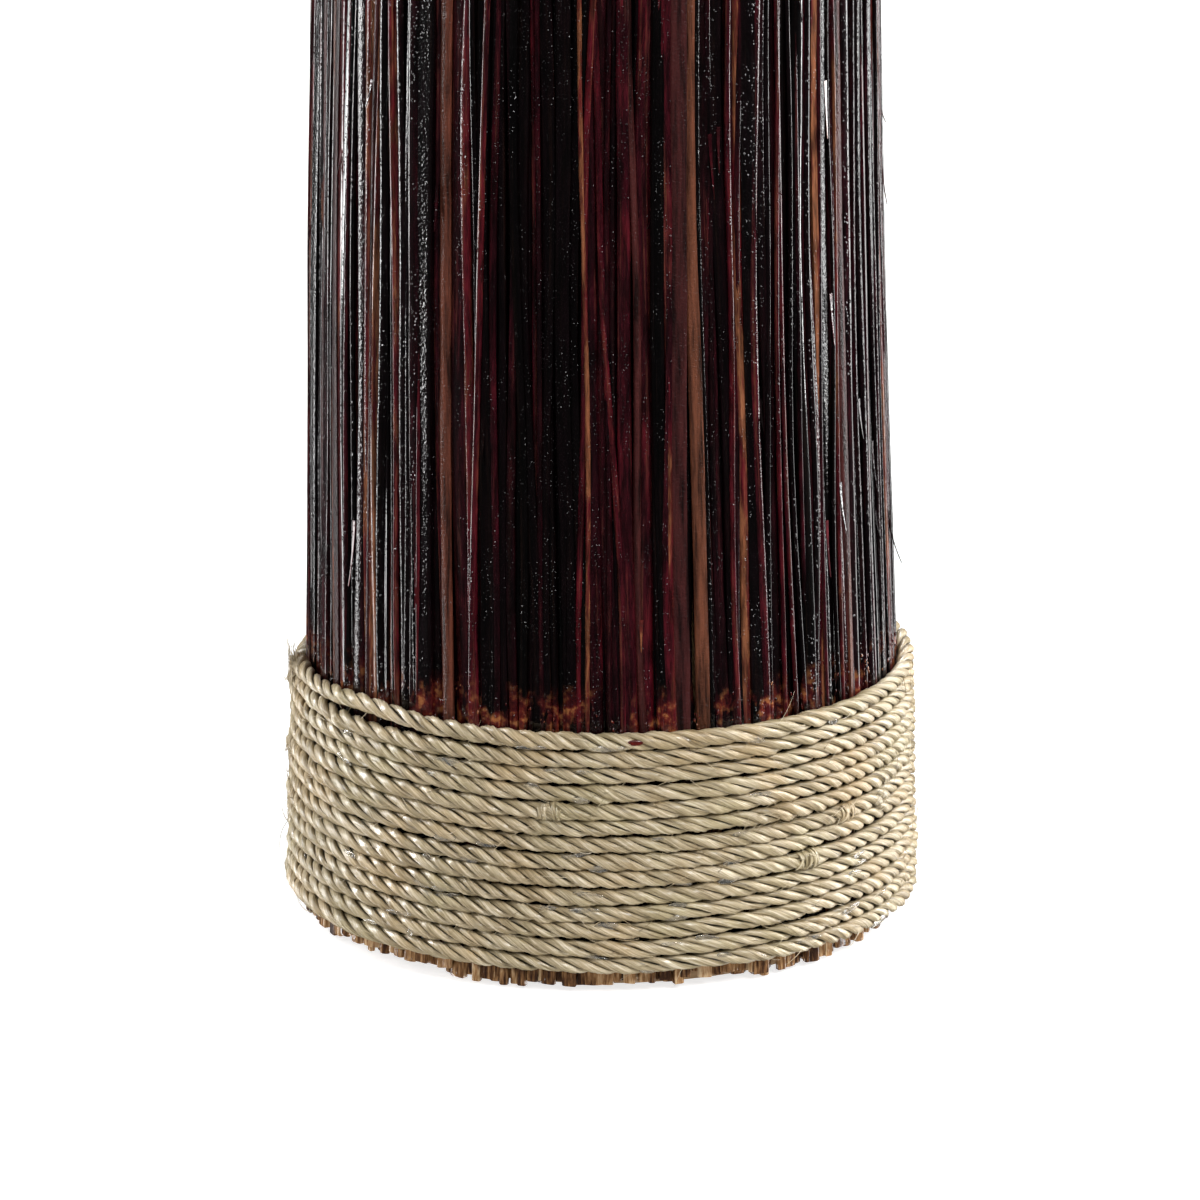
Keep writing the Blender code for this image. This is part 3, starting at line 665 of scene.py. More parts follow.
def add_blob(sweep, centre, along, out, length, height, depth):
    """A flattened drop that lies along one direction."""
    rings = 7
    across = np.cross(out, along)
    place = np.sin(np.linspace(-0.97, 0.97, rings) * math.pi / 2)
    size = np.sqrt(1.0 - place**2)
    around = np.linspace(0, math.tau, 8, endpoint=False)
    oval = np.stack((np.cos(around) * height / 2, np.sin(around) * depth / 2), axis=-1)
    section = size[:, None, None] * oval
    centres = centre + along * (place * length / 2)[:, None]
    sweep.add(centres, np.tile(across, (rings, 1)), np.tile(out, (rings, 1)), section)


def rope_glue(rope, name, material, count):
    """Smears of clear glue in the grooves between turns, mostly low on the front."""
    sweep = Sweep()
    wanted = 0
    while wanted < count:
        index = int(rng.uniform(1, len(rope.along) - 2))
        front = math.cos(rope.angle[index] + math.pi / 2 - math.radians(12))
        low = 1.0 - rope.along[index] / rope.length
        if rng.uniform() > max(0.12, front) * (1.0 - 0.6 * low):
            continue
        wanted += 1
        swing = rng.choice((-1.0, 1.0)) * rng.uniform(0.55, 1.1)
        along = rope.forward[index] + rope.up[index] * rng.normal(0, 0.12)
        along /= np.linalg.norm(along)
        add_blob(
            sweep, rope.at(index, -0.25 * MM, swing), along, rope.outward[index],
            length=rng.uniform(2.0, 13.0) * MM,
            height=rng.uniform(0.9, 3.2) * MM,
            depth=rng.uniform(0.5, 1.3) * MM,
        )
    made = sweep.build(name, material)
    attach(made, "column")


def lacquer_beads(rope, name, material, count, stain=None):
    """Runs and beads of lacquer that dried on the reeds just above the rope.

    stain is the angle of one drip on the rope itself.
    """
    sweep = Sweep()
    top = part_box(rope.node)[1].z
    for _ in range(count):
        angle = rng.uniform(0, math.tau)
        height = top + abs(rng.normal(0.0, 6.0)) * MM - 1.0 * MM
        out = np.array((math.cos(angle), math.sin(angle), 0.0))
        along = np.array((0.0, 0.0, 1.0)) + 0.25 * rng.standard_normal(3)
        along -= out * along.dot(out)
        along /= np.linalg.norm(along)
        centre = out * (float(reed_radius(height)) - rng.uniform(0.2, 1.2) * MM)
        centre[2] = height
        width = rng.uniform(0.25, 0.8) * MM
        add_blob(sweep, centre, along, out, width * rng.uniform(1.0, 3.2), width, width * 0.9)
    if stain:
        index = int(np.searchsorted(rope.angle, stain))
        drip = rope.at(index, -0.25 * MM, 0.1)
        add_blob(sweep, drip, rope.forward[index], rope.outward[index], 6.0 * MM, 2.2 * MM, 0.8 * MM)
    made = sweep.build(name, material)
    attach(made, "column")


def reed_slivers(name, material):
    """Thin strips of reed skin that have split off and stand away at one end."""
    sweep = Sweep()
    share = np.linspace(0.0, 1.0, 8)
    square = np.array(((1.0, 1.0), (-1.0, 1.0), (-1.0, -1.0), (1.0, -1.0)))
    spots = [(math.radians(-9.0), 0.147, 19.0 * MM, 4.0 * MM)]
    for _ in range(SLIVERS):
        spots.append(
            (
                rng.uniform(0, math.tau),
                rng.uniform(0.13, 0.53),
                rng.uniform(8.0, 24.0) * MM,
                rng.uniform(0.3, 2.2) * MM,
            )
        )
    for angle, top, length, peel in spots:
        height = top - share * length
        away = reed_radius(height) + peel * share**2 - 0.3 * MM
        turned = angle + rng.normal(0.0, 0.006) * share
        out = np.stack((np.cos(turned), np.sin(turned), 0 * share), axis=-1)
        across = np.stack((-np.sin(turned), np.cos(turned), 0 * share), axis=-1)
        centres = out * away[:, None]
        centres[:, 0] += LEAN * np.sin(np.clip((height - 0.09) / 0.46, 0.0, 1.0) * math.pi)
        centres[:, 2] = height
        half = np.stack((0.6 * MM * (1.15 - share), 0.16 * MM + 0 * share), axis=-1)
        section = half[:, None, :] * square[None]
        grain = np.zeros((8 * 4, 3)) + rng.uniform(0, 4, 3)
        grain[:, 2] = np.repeat(height, 4)
        sweep.add(centres, across, out, section, grain=grain, tone=rng.uniform(0.2, 1.0), raw=0.0)
    made = sweep.build(name, material, sharp_degrees=40)
    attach(made, "column")


def rope_material():
    shader = Shader("seagrass_rope")
    grain = shader.mark("grain", "Vector")
    depth = shader.mark("tone")
    place = shader.place()
    fibres = shader.noise(shader.stretch(grain, (1350, 1350, 50)), 1.0, 4.0, 0.7)
    broad = shader.noise(shader.stretch(grain, (560, 560, 55)), 1.0, 2.0)
    patches = shader.noise(place, 42.0, 3.0)
    base = shader.ramp(
        shader.math("ADD", shader.math("MULTIPLY", fibres, 0.6), shader.math("MULTIPLY", broad, 0.4)),
        (0.35, (0.110, 0.078, 0.038)),
        (0.44, (0.290, 0.226, 0.125)),
        (0.53, (0.420, 0.340, 0.215)),
        (0.63, (0.640, 0.560, 0.415)),
    )
    tint = shader.ramp(patches, (0.35, (0.92, 0.94, 0.84)), (0.5, (1.0, 1.0, 1.0)), (0.65, (1.0, 0.90, 0.76)))
    base = shader.mix(0.7, base, tint, "MULTIPLY")
    # Painted shade: the colour is darkened where the strand surface lies deepest, in the grooves between
    # strands and between turns, where shadow falls.
    grooves = shader.ramp(depth, (0.48, 0.30), (0.64, 0.92), (0.80, 1.0))
    base = shader.mix(1.0, base, grooves, "MULTIPLY")
    shader.link(base, "Base Color")
    shader.link(shader.ramp(broad, (0.35, 0.42), (0.7, 0.28)), "Roughness")
    height = shader.math("ADD", fibres, shader.math("MULTIPLY", broad, 0.8))
    shader.link(shader.bump(height, 1.0, 0.30 * MM), "Normal")
    film = shader.ramp(shader.noise(place, 55.0, 4.0, 0.7), (0.54, 0.20), (0.60, 0.9))
    shader.link(film, "Coat Weight")
    puddles = shader.math("ADD", shader.noise(place, 420.0, 2.0), shader.math("MULTIPLY", fibres, 0.5))
    shader.link(shader.bump(puddles, 0.7, 0.22 * MM), "Coat Normal")
    shader.set(Specular_IOR_Level=0.5, Coat_Roughness=0.16, Coat_IOR=1.5)
    return shader.material


def glue_material():
    shader = Shader("clear_glue")
    shader.set(Base_Color=(0.93, 0.91, 0.86, 1.0), IOR=1.35, Transmission_Weight=0.95)
    cloudy = shader.noise(shader.place(), 500.0, 2.0)
    shader.link(shader.ramp(cloudy, (0.3, 0.05), (0.7, 0.22)), "Roughness")
    shader.link(shader.bump(cloudy, 0.4, 0.2 * MM), "Normal")
    return shader.material


def lacquer_material():
    shader = Shader("lacquer_bead")
    tint = shader.noise(shader.place(), 160.0, 2.0)
    colours = shader.ramp(
        tint, (0.35, (0.020, 0.003, 0.004)), (0.55, (0.080, 0.008, 0.006)), (0.70, (0.30, 0.12, 0.05))
    )
    shader.link(colours, "Base Color")
    shader.set(Roughness=0.08, Coat_Weight=1.0, Coat_Roughness=0.03)
    return shader.material


# ---------------------------------------------------------------- metal, wood and wick materials


def metal_material(name, dark, light, roughness, metallic=1.0, coat=0.0):
    """Spun metal: fine rings around the vertical axis and a faint uneven tarnish."""
    shader = Shader(name)
    place = shader.place()
    parts = shader.nodes.new("ShaderNodeSeparateXYZ")
    shader.links.new(place, parts.inputs[0])
    squares = shader.math(
        "ADD",
        shader.math("MULTIPLY", parts.outputs["X"], parts.outputs["X"]),
        shader.math("MULTIPLY", parts.outputs["Y"], parts.outputs["Y"]),
    )
    rings = shader.nodes.new("ShaderNodeCombineXYZ")
    shader.links.new(shader.math("SQRT", squares), rings.inputs["X"])
    shader.links.new(parts.outputs["Z"], rings.inputs["Y"])
    spun = shader.noise(shader.stretch(rings.outputs[0], (2600, 2600, 1)), 1.0, 2.0)
    tarnish = shader.noise(place, 70.0, 5.0, 0.65)
    shader.link(shader.ramp(tarnish, (0.34, dark), (0.60, light)), "Base Color")
    smear = shader.math("ADD", shader.math("MULTIPLY", spun, 0.4), shader.math("MULTIPLY", tarnish, 0.6))
    shader.link(shader.ramp(smear, (0.35, roughness * 0.75), (0.65, min(1.0, roughness * 1.35))), "Roughness")
    shader.set(Metallic=metallic, Coat_Weight=coat, Coat_Roughness=0.15)
    shader.link(shader.bump(spun, 0.12, 0.04 * MM), "Normal")
    return shader.material


def plywood_material():
    shader = Shader("plywood")
    place = shader.place()
    plies = shader.noise(shader.stretch(place, (14, 14, 700)), 1.0, 2.0)
    grain = shader.noise(shader.stretch(place, (30, 260, 30)), 1.0, 4.0, 0.6, 0.6)
    colour = shader.ramp(
        shader.math("ADD", shader.math("MULTIPLY", plies, 0.4), shader.math("MULTIPLY", grain, 0.6)),
        (0.35, (0.26, 0.14, 0.06)),
        (0.65, (0.55, 0.37, 0.19)),
    )
    shader.link(colour, "Base Color")
    shader.set(Roughness=0.75)
    shader.link(shader.bump(grain, 0.3, 0.2 * MM), "Normal")
    return shader.material


def speckled_material(name, dark, light, roughness, scale, bump):
    shader = Shader(name)
    speckle = shader.noise(shader.place(), scale, 5.0, 0.65)
    shader.link(shader.ramp(speckle, (0.3, dark), (0.7, light)), "Base Color")
    shader.link(shader.ramp(speckle, (0.3, roughness * 0.85), (0.7, min(1.0, roughness * 1.15))), "Roughness")
    shader.link(shader.bump(speckle, 0.5, bump), "Normal")
    return shader.material


COLLAR_RIDGES = 60
WICK_YARNS = 8
EASED_EDGE = {
    "snuffer_arm": 0.25 * MM,
    "hinge_bracket": 0.2 * MM,
    "hinge_pin": 0.2 * MM,
    "top_ring": 0.8 * MM,
}
TURNED_NODES = (
    "burner_cup", "cup_screw_1", "cup_screw_2", "cup_screw_3", "cup_screw_4", "canister_can", "canister_top",
    "collar_ring", "burner_plate", "wick_tube", "wick", "snuffer_cap", "snuffer_knob",
)


def wick_material():
    """Braided cotton, charred at the lit end."""
    shader = Shader("cotton_wick")
    place = shader.place()
    parts = shader.nodes.new("ShaderNodeSeparateXYZ")
    shader.links.new(place, parts.inputs[0])
    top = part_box("wick")[1].z
    fuzz = shader.noise(place, 1400.0, 4.0, 0.7)
    ragged = shader.math("MULTIPLY", shader.math("SUBTRACT", fuzz, 0.5), 0.006)
    char = shader.math("ADD", parts.outputs["Z"], ragged)
    burnt = shader.ramp(
        shader.math("MULTIPLY", shader.math("SUBTRACT", char, top - 0.016), 1.0 / 0.016),
        (0.10, (0.62, 0.57, 0.46)),
        (0.45, (0.22, 0.13, 0.06)),
        (0.68, (0.020, 0.016, 0.014)),
        (1.00, (0.010, 0.010, 0.010)),
    )
    shader.link(shader.mix(0.5, burnt, shader.ramp(fuzz, (0.3, 0.5), (0.7, 1.0)), "MULTIPLY"), "Base Color")
    shader.set(Roughness=0.92, Specular_IOR_Level=0.2)
    shader.link(shader.bump(fuzz, 0.8, 0.25 * MM), "Normal")
    return shader.material


# ---------------------------------------------------------------- turned pieces of the burner


def rounded(outline, radius, steps=4):
    """A closed outline of (radius, height) points with its corners eased; corners on the axis stay sharp."""
    points = [Vector(p) for p in outline]
    eased = []
    for index, point in enumerate(points):
        before, after = points[index - 1], points[(index + 1) % len(points)]
        if point.x < 1e-6:
            eased.append(point)
            continue
        back, ahead = before - point, after - point
        start = point + back.normalized() * min(radius, back.length * 0.45)
        end = point + ahead.normalized() * min(radius, ahead.length * 0.45)
        for share in np.linspace(0.0, 1.0, steps):
            eased.append(start * (1 - share) ** 2 + point * 2 * share * (1 - share) + end * share**2)
    return [tuple(p) for p in eased]


def lathe(node, outline, material, body, segments=96, shape=None, centre=(0.0, 0.0)):
    """Turns a closed outline about a vertical axis; shape may carve (angle, radius, height) afterwards."""
    points = np.array(outline)
    count = len(points)
    angle = np.linspace(0, math.tau, segments, endpoint=False)[None, :]
    radius = np.repeat(points[:, 0:1], segments, axis=1)
    height = np.repeat(points[:, 1:2], segments, axis=1)
    if shape:
        radius, height = shape(angle, radius, height)
    corners = np.stack(
        (centre[0] + radius * np.cos(angle), centre[1] + radius * np.sin(angle), height), axis=-1
    ).reshape(-1, 3)
    faces = []
    for row in range(count):
        onward = (row + 1) % count
        if points[row, 0] < 1e-6 and points[onward, 0] < 1e-6:
            continue
        for step in range(segments):
            turn = (step + 1) % segments
            faces.append(
                (
                    row * segments + step,
                    row * segments + turn,
                    onward * segments + turn,
                    onward * segments + step,
                )
            )
    mesh = bpy.data.meshes.new(node + "_turned")
    mesh.from_pydata(corners.tolist(), [], faces)
    shell = bmesh.new()
    shell.from_mesh(mesh)
    bmesh.ops.remove_doubles(shell, verts=shell.verts, dist=1e-7)
    bmesh.ops.recalc_face_normals(shell, faces=shell.faces)
    shell.to_mesh(mesh)
    shell.free()
    mesh.shade_smooth()
    mesh.set_sharp_from_angle(angle=math.radians(40))
    mesh.materials.append(material)
    made = bpy.data.objects.new(node + "_turned", mesh)
    bpy.context.scene.collection.objects.link(made)
    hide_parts(node)
    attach(made, body)
    return made


def ladder(radius, low, high, step):
    """Evenly spaced points up a straight side, for surfaces that a shape function will carve."""
    return [(radius, height) for height in np.arange(low, high, step)]


def make_cup(enamel, screw_look):
    low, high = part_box("burner_cup")
    outer = high.x
    wall = 1.0 * MM
    bore = 58.0 * MM
    floor = low.z + wall
    outline = [
        (0.0, low.z), (bore - 2 * MM, low.z), (bore + wall, low.z + 3 * MM), (bore + wall, high.z - 1.2 * MM),
        (outer, high.z - 1.2 * MM), (outer, high.z + 0.3 * MM), (outer - 0.8 * MM, high.z + 0.5 * MM),
        (outer - 1.8 * MM, high.z + 0.4 * MM), (outer - 2.4 * MM, high.z), (bore, high.z),
        (bore, floor + 3 * MM), (bore - 3 * MM, floor), (0.0, floor),
    ]
    lathe("burner_cup", rounded(outline, 0.7 * MM), enamel, "column")
    for number in range(1, 5):
        make_screw(f"cup_screw_{number}", screw_look)


def make_screw(node, material):
    low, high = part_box(node)
    middle = ((low.x + high.x) / 2, (low.y + high.y) / 2)
    head = (high.x - low.x) / 2
    shank = 1.6 * MM
    seat = high.z - 2.2 * MM
    dome = [
        (head * math.sin(a), seat + 0.5 * MM + 1.7 * MM * math.cos(a))
        for a in np.linspace(math.pi / 2, 0.06, 22)
    ]
    outline = [(0.0, low.z), (shank, low.z + 2 * MM), (shank, seat), (head, seat), *dome, (0.0, high.z)]

    def recess(angle, radius, height):
        """A cross-shaped driver recess in the dome."""
        x, y = np.abs(radius * np.cos(angle)), np.abs(radius * np.sin(angle))
        arm, reach = 0.50 * MM, 1.9 * MM
        inside = ((x < arm) & (y < reach)) | ((y < arm) & (x < reach))
        inside &= height > seat + 0.6 * MM
        return radius, np.where(inside, height - 1.0 * MM * (1.0 - radius / reach * 0.5), height)

    lathe(node, outline, material, "column", 64, recess, middle)


def make_canister(tin):
    low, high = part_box("canister_can")
    outer = high.x
    skin = outer - 0.6 * MM
    beads = []
    for middle in (low.z + 30 * MM, low.z + 36 * MM, high.z - 30 * MM, high.z - 24 * MM):
        beads += [(skin, middle - 1.6 * MM), (outer, middle), (skin, middle + 1.6 * MM)]
    outline = [
        (0.0, low.z + 1.2 * MM), (outer - 4.4 * MM, low.z + 1.2 * MM),
        (outer - 3.0 * MM, low.z), (outer, low.z),
        (outer, low.z + 3.2 * MM), (skin, low.z + 3.8 * MM), *beads, (skin, high.z),
        (skin - 0.6 * MM, high.z), (skin - 0.6 * MM, low.z + 2.2 * MM), (0.0, low.z + 2.2 * MM),
    ]
    lathe("canister_can", rounded(outline, 0.8 * MM), tin, "canister")
    low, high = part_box("canister_top")
    neck = 37.0 * MM
    shoulder = low.z + 9.7 * MM
    thread_low, thread_high = shoulder + 3.0 * MM, high.z - 1.0 * MM
    outline = rounded(
        [
            (outer - 1.8 * MM, low.z), (outer, low.z), (outer, low.z + 2.9 * MM),
            (outer - 1.7 * MM, low.z + 3.0 * MM), (outer - 2.4 * MM, low.z + 2.2 * MM),
            (neck + 6 * MM, shoulder), (neck + 1.4 * MM, shoulder + 1.2 * MM),
            (neck, thread_low),
        ],
        0.8 * MM,
    )[:-4]
    outline += ladder(neck, thread_low, thread_high, 0.4 * MM)
    outline += [
        (neck, high.z - 0.4 * MM), (neck - 0.4 * MM, high.z), (neck - 1.0 * MM, high.z),
        (neck - 1.0 * MM, shoulder), (neck + 5.5 * MM, shoulder - 1.0 * MM),
        (outer - 3.2 * MM, low.z + 1.2 * MM),
        (outer - 2.5 * MM, low.z),
    ]

    def thread(angle, radius, height):
        fade_in = np.clip((height - thread_low) / (1.5 * MM), 0, 1)
        fade_out = np.clip((thread_high - height) / (1.5 * MM), 0, 1)
        ramp = fade_in * fade_out
        ridge = 0.5 - 0.5 * np.cos((height / (3.2 * MM)) * math.tau - angle)
        carved = radius - 0.7 * MM * ramp * (1.0 - ridge**0.7)
        return np.where(np.abs(radius - neck) < 1e-5, carved, radius), height

    lathe("canister_top", outline, tin, "canister", 120, thread)


def make_collar(brass):
    low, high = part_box("collar_ring")
    outer = high.x
    bore = 37.6 * MM
    lip = 30.5 * MM
    under = high.z - 1.4 * MM
    outline = rounded([(bore, low.z), (outer - 0.6 * MM, low.z), (outer, low.z + 1.0 * MM)], 0.4 * MM)[:-4]
    outline += ladder(outer, low.z + 1.0 * MM, high.z - 2.2 * MM, 0.5 * MM)
    outline += rounded(
        [
            (outer, high.z - 2.2 * MM), (outer - 1.6 * MM, high.z - 0.1 * MM), (outer - 3.4 * MM, high.z),
            (outer - 4.2 * MM, high.z - 0.3 * MM), (lip + 1.6 * MM, high.z - 0.3 * MM),
            (lip + 0.8 * MM, high.z),
            (lip, high.z - 0.5 * MM), (lip, under), (bore, under),
        ],
        0.3 * MM,
    )[4:]

    def knurl(angle, radius, height):
        depth = 0.55 * MM * (0.5 - 0.5 * np.cos(angle * COLLAR_RIDGES))
        fade_in = np.clip((height - low.z - 1.2 * MM) / MM, 0, 1)
        fade_out = np.clip((high.z - 2.6 * MM - height) / MM, 0, 1)
        ends = fade_in * fade_out
        return np.where(radius > outer - 0.1 * MM, radius - depth * ends, radius), height

    lathe("collar_ring", outline, brass, "collar", COLLAR_RIDGES * 6, knurl)


def make_burner(brass, cotton):
    low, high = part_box("burner_plate")
    outer = high.x
    thick = 1.2 * MM
    hole, step = 8.3 * MM, 18.0 * MM
    outline = [
        (hole, high.z - thick), (step, high.z - thick), (step + 5 * MM, low.z), (outer, low.z),
        (outer, low.z + thick), (step + 10 * MM, low.z + thick), (step + 9.4 * MM, low.z + thick + 0.5 * MM),
        (step + 8.6 * MM, low.z + thick + 0.5 * MM), (step + 8 * MM, low.z + thick),
        (step + 5 * MM, low.z + thick),
        (step, high.z), (hole, high.z),
    ]
    lathe("burner_plate", rounded(outline, 0.9 * MM), brass, "burner")
    low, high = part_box("wick_tube")
    flange = low.z + 28.0 * MM
    bore, outer = 7.0 * MM, 8.0 * MM
    outline = [
        (bore, low.z), (outer, low.z), (outer, flange), (high.x, flange), (high.x, flange + 1.2 * MM),
        (outer + 0.8 * MM, flange + 1.3 * MM), (outer, flange + 2.2 * MM), (outer, high.z - 1.2 * MM),
        (outer + 0.25 * MM, high.z - 0.5 * MM), (outer, high.z), (bore, high.z),
    ]
    lathe("wick_tube", rounded(outline, 0.4 * MM), brass, "burner")
    low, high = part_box("wick")
    outer = high.x
    side = ladder(outer, low.z + 0.5 * MM, high.z - 1.0 * MM, 0.8 * MM)
    outline = [
        (0.0, low.z), (outer * 0.95, low.z), *side, (outer * 0.96, high.z - 0.3 * MM), (outer * 0.8, high.z),
        (outer * 0.6, high.z - 0.3 * MM), (outer * 0.3, high.z - 0.1 * MM), (0.0, high.z - 0.4 * MM),
    ]

    def braid(angle, radius, height):
        """Two sets of yarns crossing over each other around the wick."""
        rise = height / (9.0 * MM) * math.tau
        one = np.abs(np.sin((angle * WICK_YARNS + rise) / 2))
        other = np.abs(np.sin((angle * WICK_YARNS - rise) / 2))
        sunk = 0.7 * MM * (1.0 - np.maximum(one, other) ** 0.8)
        return radius - np.where(radius > outer * 0.5, sunk, 0.0), height

    lathe("wick", outline, cotton, "wick", WICK_YARNS * 12, braid)


def make_snuffer(brass):
    low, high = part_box("snuffer_cap")
    outer = high.x
    wall = 1.0 * MM
    hole = 1.7 * MM
    dome = [
        (hole + (outer - hole) * math.sin(a), high.z - 11.0 * MM + 11.0 * MM * math.cos(a))
        for a in np.linspace(math.pi / 2, 0.0, 14)
    ]
    inner = [
        (max(hole, radius - wall), height - wall) for radius, height in reversed(dome)
    ]
    outline = [
        (outer - wall, low.z), (outer - 0.3 * MM, low.z),
        (outer, low.z + 0.4 * MM), (outer, low.z + 1.4 * MM),
        (outer - 0.35 * MM, low.z + 1.9 * MM), (outer - 0.2 * MM, low.z + 3.0 * MM), *dome, *inner,
    ]
    lathe("snuffer_cap", outline, brass, "snuffer")
    low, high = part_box("snuffer_knob")
    ball = high.x
    stem = 1.4 * MM
    seat = low.z + 4.6 * MM
    middle = high.z - ball - 0.2 * MM
    crown = [
        (ball * math.cos(a), middle + ball * math.sin(a)) for a in np.radians(np.linspace(-52, 84, 18))
    ]
    outline = [
        (0.0, low.z), (2.8 * MM, low.z), (2.8 * MM, low.z + 0.9 * MM), (stem, low.z + 0.9 * MM), (stem, seat),
        (3.0 * MM, seat), (3.1 * MM, seat + 0.6 * MM), (2.4 * MM, seat + 0.9 * MM), *crown, (0.0, high.z),
    ]
    lathe("snuffer_knob", outline, brass, "snuffer", 64)


def finish_cad():
    """Materials for the CAD pieces that are shown as they are, with their sharp edges eased."""
    brass = metal_material("aged_brass", (0.40, 0.24, 0.09), (0.62, 0.42, 0.17), 0.27)
    zinc = metal_material("zinc_plate", (0.45, 0.46, 0.47), (0.66, 0.67, 0.68), 0.30)
    tin = metal_material("tinned_steel", (0.42, 0.42, 0.43), (0.60, 0.60, 0.61), 0.26)
    enamel = metal_material("black_enamel", (0.014, 0.014, 0.015), (0.026, 0.026, 0.028), 0.42, 0.0, 0.25)
    looks = {
        "plywood": plywood_material(),
        "cement": speckled_material(
            "cast_cement", (0.28, 0.27, 0.25), (0.50, 0.49, 0.46), 0.9, 400.0, 0.3 * MM
        ),
        "rubber": speckled_material("black_rubber", (0.012,) * 3, (0.028,) * 3, 0.7, 700.0, 0.1 * MM),
        "zinc_steel": zinc,
        "black_steel": enamel,
        "bare_steel": tin,
        "brass": brass,
    }
    for entry in frame["record"]["subparts"]:
        look = looks.get(entry["material_slot"])
        node = frame["nodes"][entry["node"]]
        if look is None or entry["node"] in TURNED_NODES:
            continue
        node.data.materials.clear()
        node.data.materials.append(look)
        bevel = node.modifiers.new("eased_edges", "BEVEL")
        bevel.width = EASED_EDGE.get(entry["node"], 0.4 * MM)
        bevel.segments = 2
        bevel.limit_method = "ANGLE"
        bevel.angle_limit = math.radians(40)
    make_cup(enamel, zinc)
    make_canister(tin)
    make_collar(brass)
    make_burner(brass, wick_material())
    make_snuffer(brass)


# ---------------------------------------------------------------- studio


def area_light(name, place, aim, width, height, power, colour=(1.0, 1.0, 1.0)):
    data = bpy.data.lights.new(name, "AREA")
    data.shape = "RECTANGLE"
    data.size = width
    data.size_y = height
    data.energy = power
    data.color = colour
    light = bpy.data.objects.new(name, data)
    light.location = place
    light.rotation_mode = "QUATERNION"
    light.rotation_quaternion = (Vector(aim) - Vector(place)).to_track_quat("-Z", "Y")
    bpy.context.scene.collection.objects.link(light)
    return light


def reflector_card(name, azimuth, distance, width, strength):
    """A tall glowing card that only reflections see. Azimuth is from the camera's side, plus to the right."""
    turn = math.radians(azimuth)
    toward = Vector((math.sin(turn), -math.cos(turn), 0.0))
    side = Vector((math.cos(turn), math.sin(turn), 0.0)) * width / 2
    low, high = Vector((0, 0, -1.4)), Vector((0, 0, 1.6))
    middle = toward * distance
    mesh = bpy.data.meshes.new(name)
    mesh.from_pydata(
        [middle - side + low, middle + side + low, middle + side + high, middle - side + high],
        [],
        [(0, 1, 2, 3)],
    )
    shader = Shader(name)
    shader.set(Base_Color=(0, 0, 0, 1), Emission_Color=(1, 1, 1, 1), Emission_Strength=strength)
    mesh.materials.append(shader.material)
    card = bpy.data.objects.new(name, mesh)
    card.visible_camera = False
    card.visible_diffuse = False
    card.visible_shadow = False
    card.visible_transmission = False
    bpy.context.scene.collection.objects.link(card)


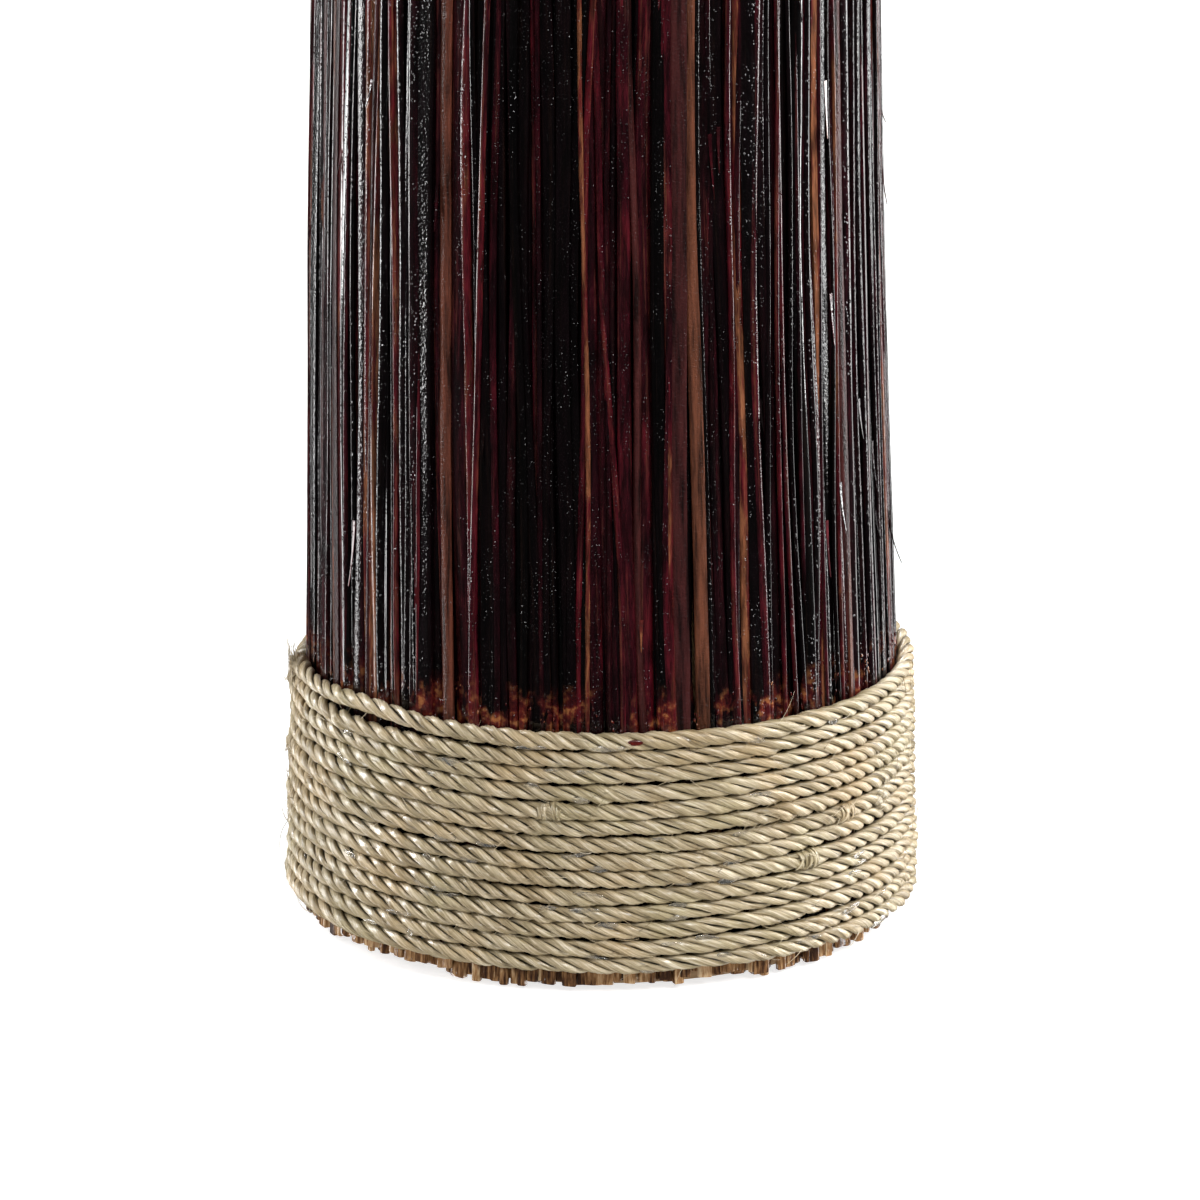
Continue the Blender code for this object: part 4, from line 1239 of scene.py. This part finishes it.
def make_studio():
    mesh = bpy.data.meshes.new("floor")
    reach = 12.0
    mesh.from_pydata(
        [(-reach, -reach, 0.0), (reach, -reach, 0.0), (reach, reach, 0.0), (-reach, reach, 0.0)],
        [],
        [(0, 1, 2, 3)],
    )
    shader = Shader("floor")
    shader.set(Base_Color=(0.50, 0.50, 0.50, 1.0), Roughness=0.9, Specular_IOR_Level=0.1)
    shader.set(Emission_Color=(1.0, 1.0, 1.0, 1.0), Emission_Strength=0.75)
    mesh.materials.append(shader.material)
    floor = bpy.data.objects.new("floor", mesh)
    floor.location.z = cad_low.z
    floor.visible_glossy = False
    bpy.context.scene.collection.objects.link(floor)
    world = bpy.data.worlds.new("studio")
    world.use_nodes = True
    nodes, links = world.node_tree.nodes, world.node_tree.links
    background = nodes["Background"]
    direction = nodes.new("ShaderNodeSeparateXYZ")
    links.new(nodes.new("ShaderNodeTexCoord").outputs["Generated"], direction.inputs[0])
    overhead = nodes.new("ShaderNodeValToRGB")
    links.new(direction.outputs["Z"], overhead.inputs[0])
    overhead.color_ramp.elements[0].position = 0.25
    overhead.color_ramp.elements[0].color = (0.04, 0.04, 0.04, 1.0)
    overhead.color_ramp.elements[1].position = 0.75
    overhead.color_ramp.elements[1].color = (0.9, 0.9, 0.9, 1.0)
    path = nodes.new("ShaderNodeLightPath")
    soft = nodes.new("ShaderNodeMix")
    soft.data_type = "RGBA"
    soft.inputs[6].default_value = (0.20, 0.20, 0.20, 1.0)
    links.new(overhead.outputs["Color"], soft.inputs[7])
    links.new(path.outputs["Is Glossy Ray"], soft.inputs[0])
    seen = nodes.new("ShaderNodeMix")
    seen.data_type = "RGBA"
    links.new(soft.outputs[2], seen.inputs[6])
    seen.inputs[7].default_value = (1.0, 1.0, 1.0, 1.0)
    links.new(path.outputs["Is Camera Ray"], seen.inputs[0])
    links.new(seen.outputs[2], background.inputs["Color"])
    bpy.context.scene.world = world
    reflector_card("card_left", -112, 1.5, 0.22, 11.0)
    reflector_card("card_right", 118, 1.5, 0.60, 5.0)
    middle = (0.0, 0.0, 0.2)
    area_light("key", (1.5, -2.0, 2.4), middle, 1.0, 1.0, 96)
    area_light("fill", (-1.3, -2.1, 1.8), middle, 1.2, 1.2, 12)
    area_light("left_strip", (-1.5, 0.35, 0.6), middle, 0.15, 1.6, 28)
    area_light("right_strip", (1.5, 0.45, 0.6), middle, 0.3, 1.6, 44)
    area_light("back", (0.3, 2.2, 1.9), middle, 0.8, 0.8, 34)
    bpy.context.scene.view_settings.view_transform = "Standard"


make_camera()
reed_look = reed_material()
make_reeds(reed_look, leathery_material())
reed_slivers("reed_slivers", reed_look)
rope_look = rope_material()
base_rope = Rope(
    "base_rope", 14, math.radians(186), slack=((0, 222, 1.9), (1, 219, -0.7), (11, 318, 1.0), (7, 330, 0.8))
)
top_rope = Rope("top_rope", 9, math.radians(80))
rope_strands(base_rope, "base_rope", rope_look)
rope_strands(top_rope, "top_rope", rope_look)
rope_wraps(base_rope, "base_rope_wraps", rope_look, 75)
rope_wraps(top_rope, "top_rope_wraps", rope_look, 60)
rope_fibres(base_rope, "base_rope_fibres", rope_look, 1100)
rope_fibres(top_rope, "top_rope_fibres", rope_look, 420)
glue = glue_material()
rope_glue(base_rope, "base_rope_glue", glue, 60)
rope_glue(top_rope, "top_rope_glue", glue, 20)
lacquer = lacquer_material()
lacquer_beads(base_rope, "base_rope_lacquer", lacquer, 500, stain=math.radians(275))
lacquer_beads(top_rope, "top_rope_lacquer", lacquer, 200)
finish_cad()
make_studio()
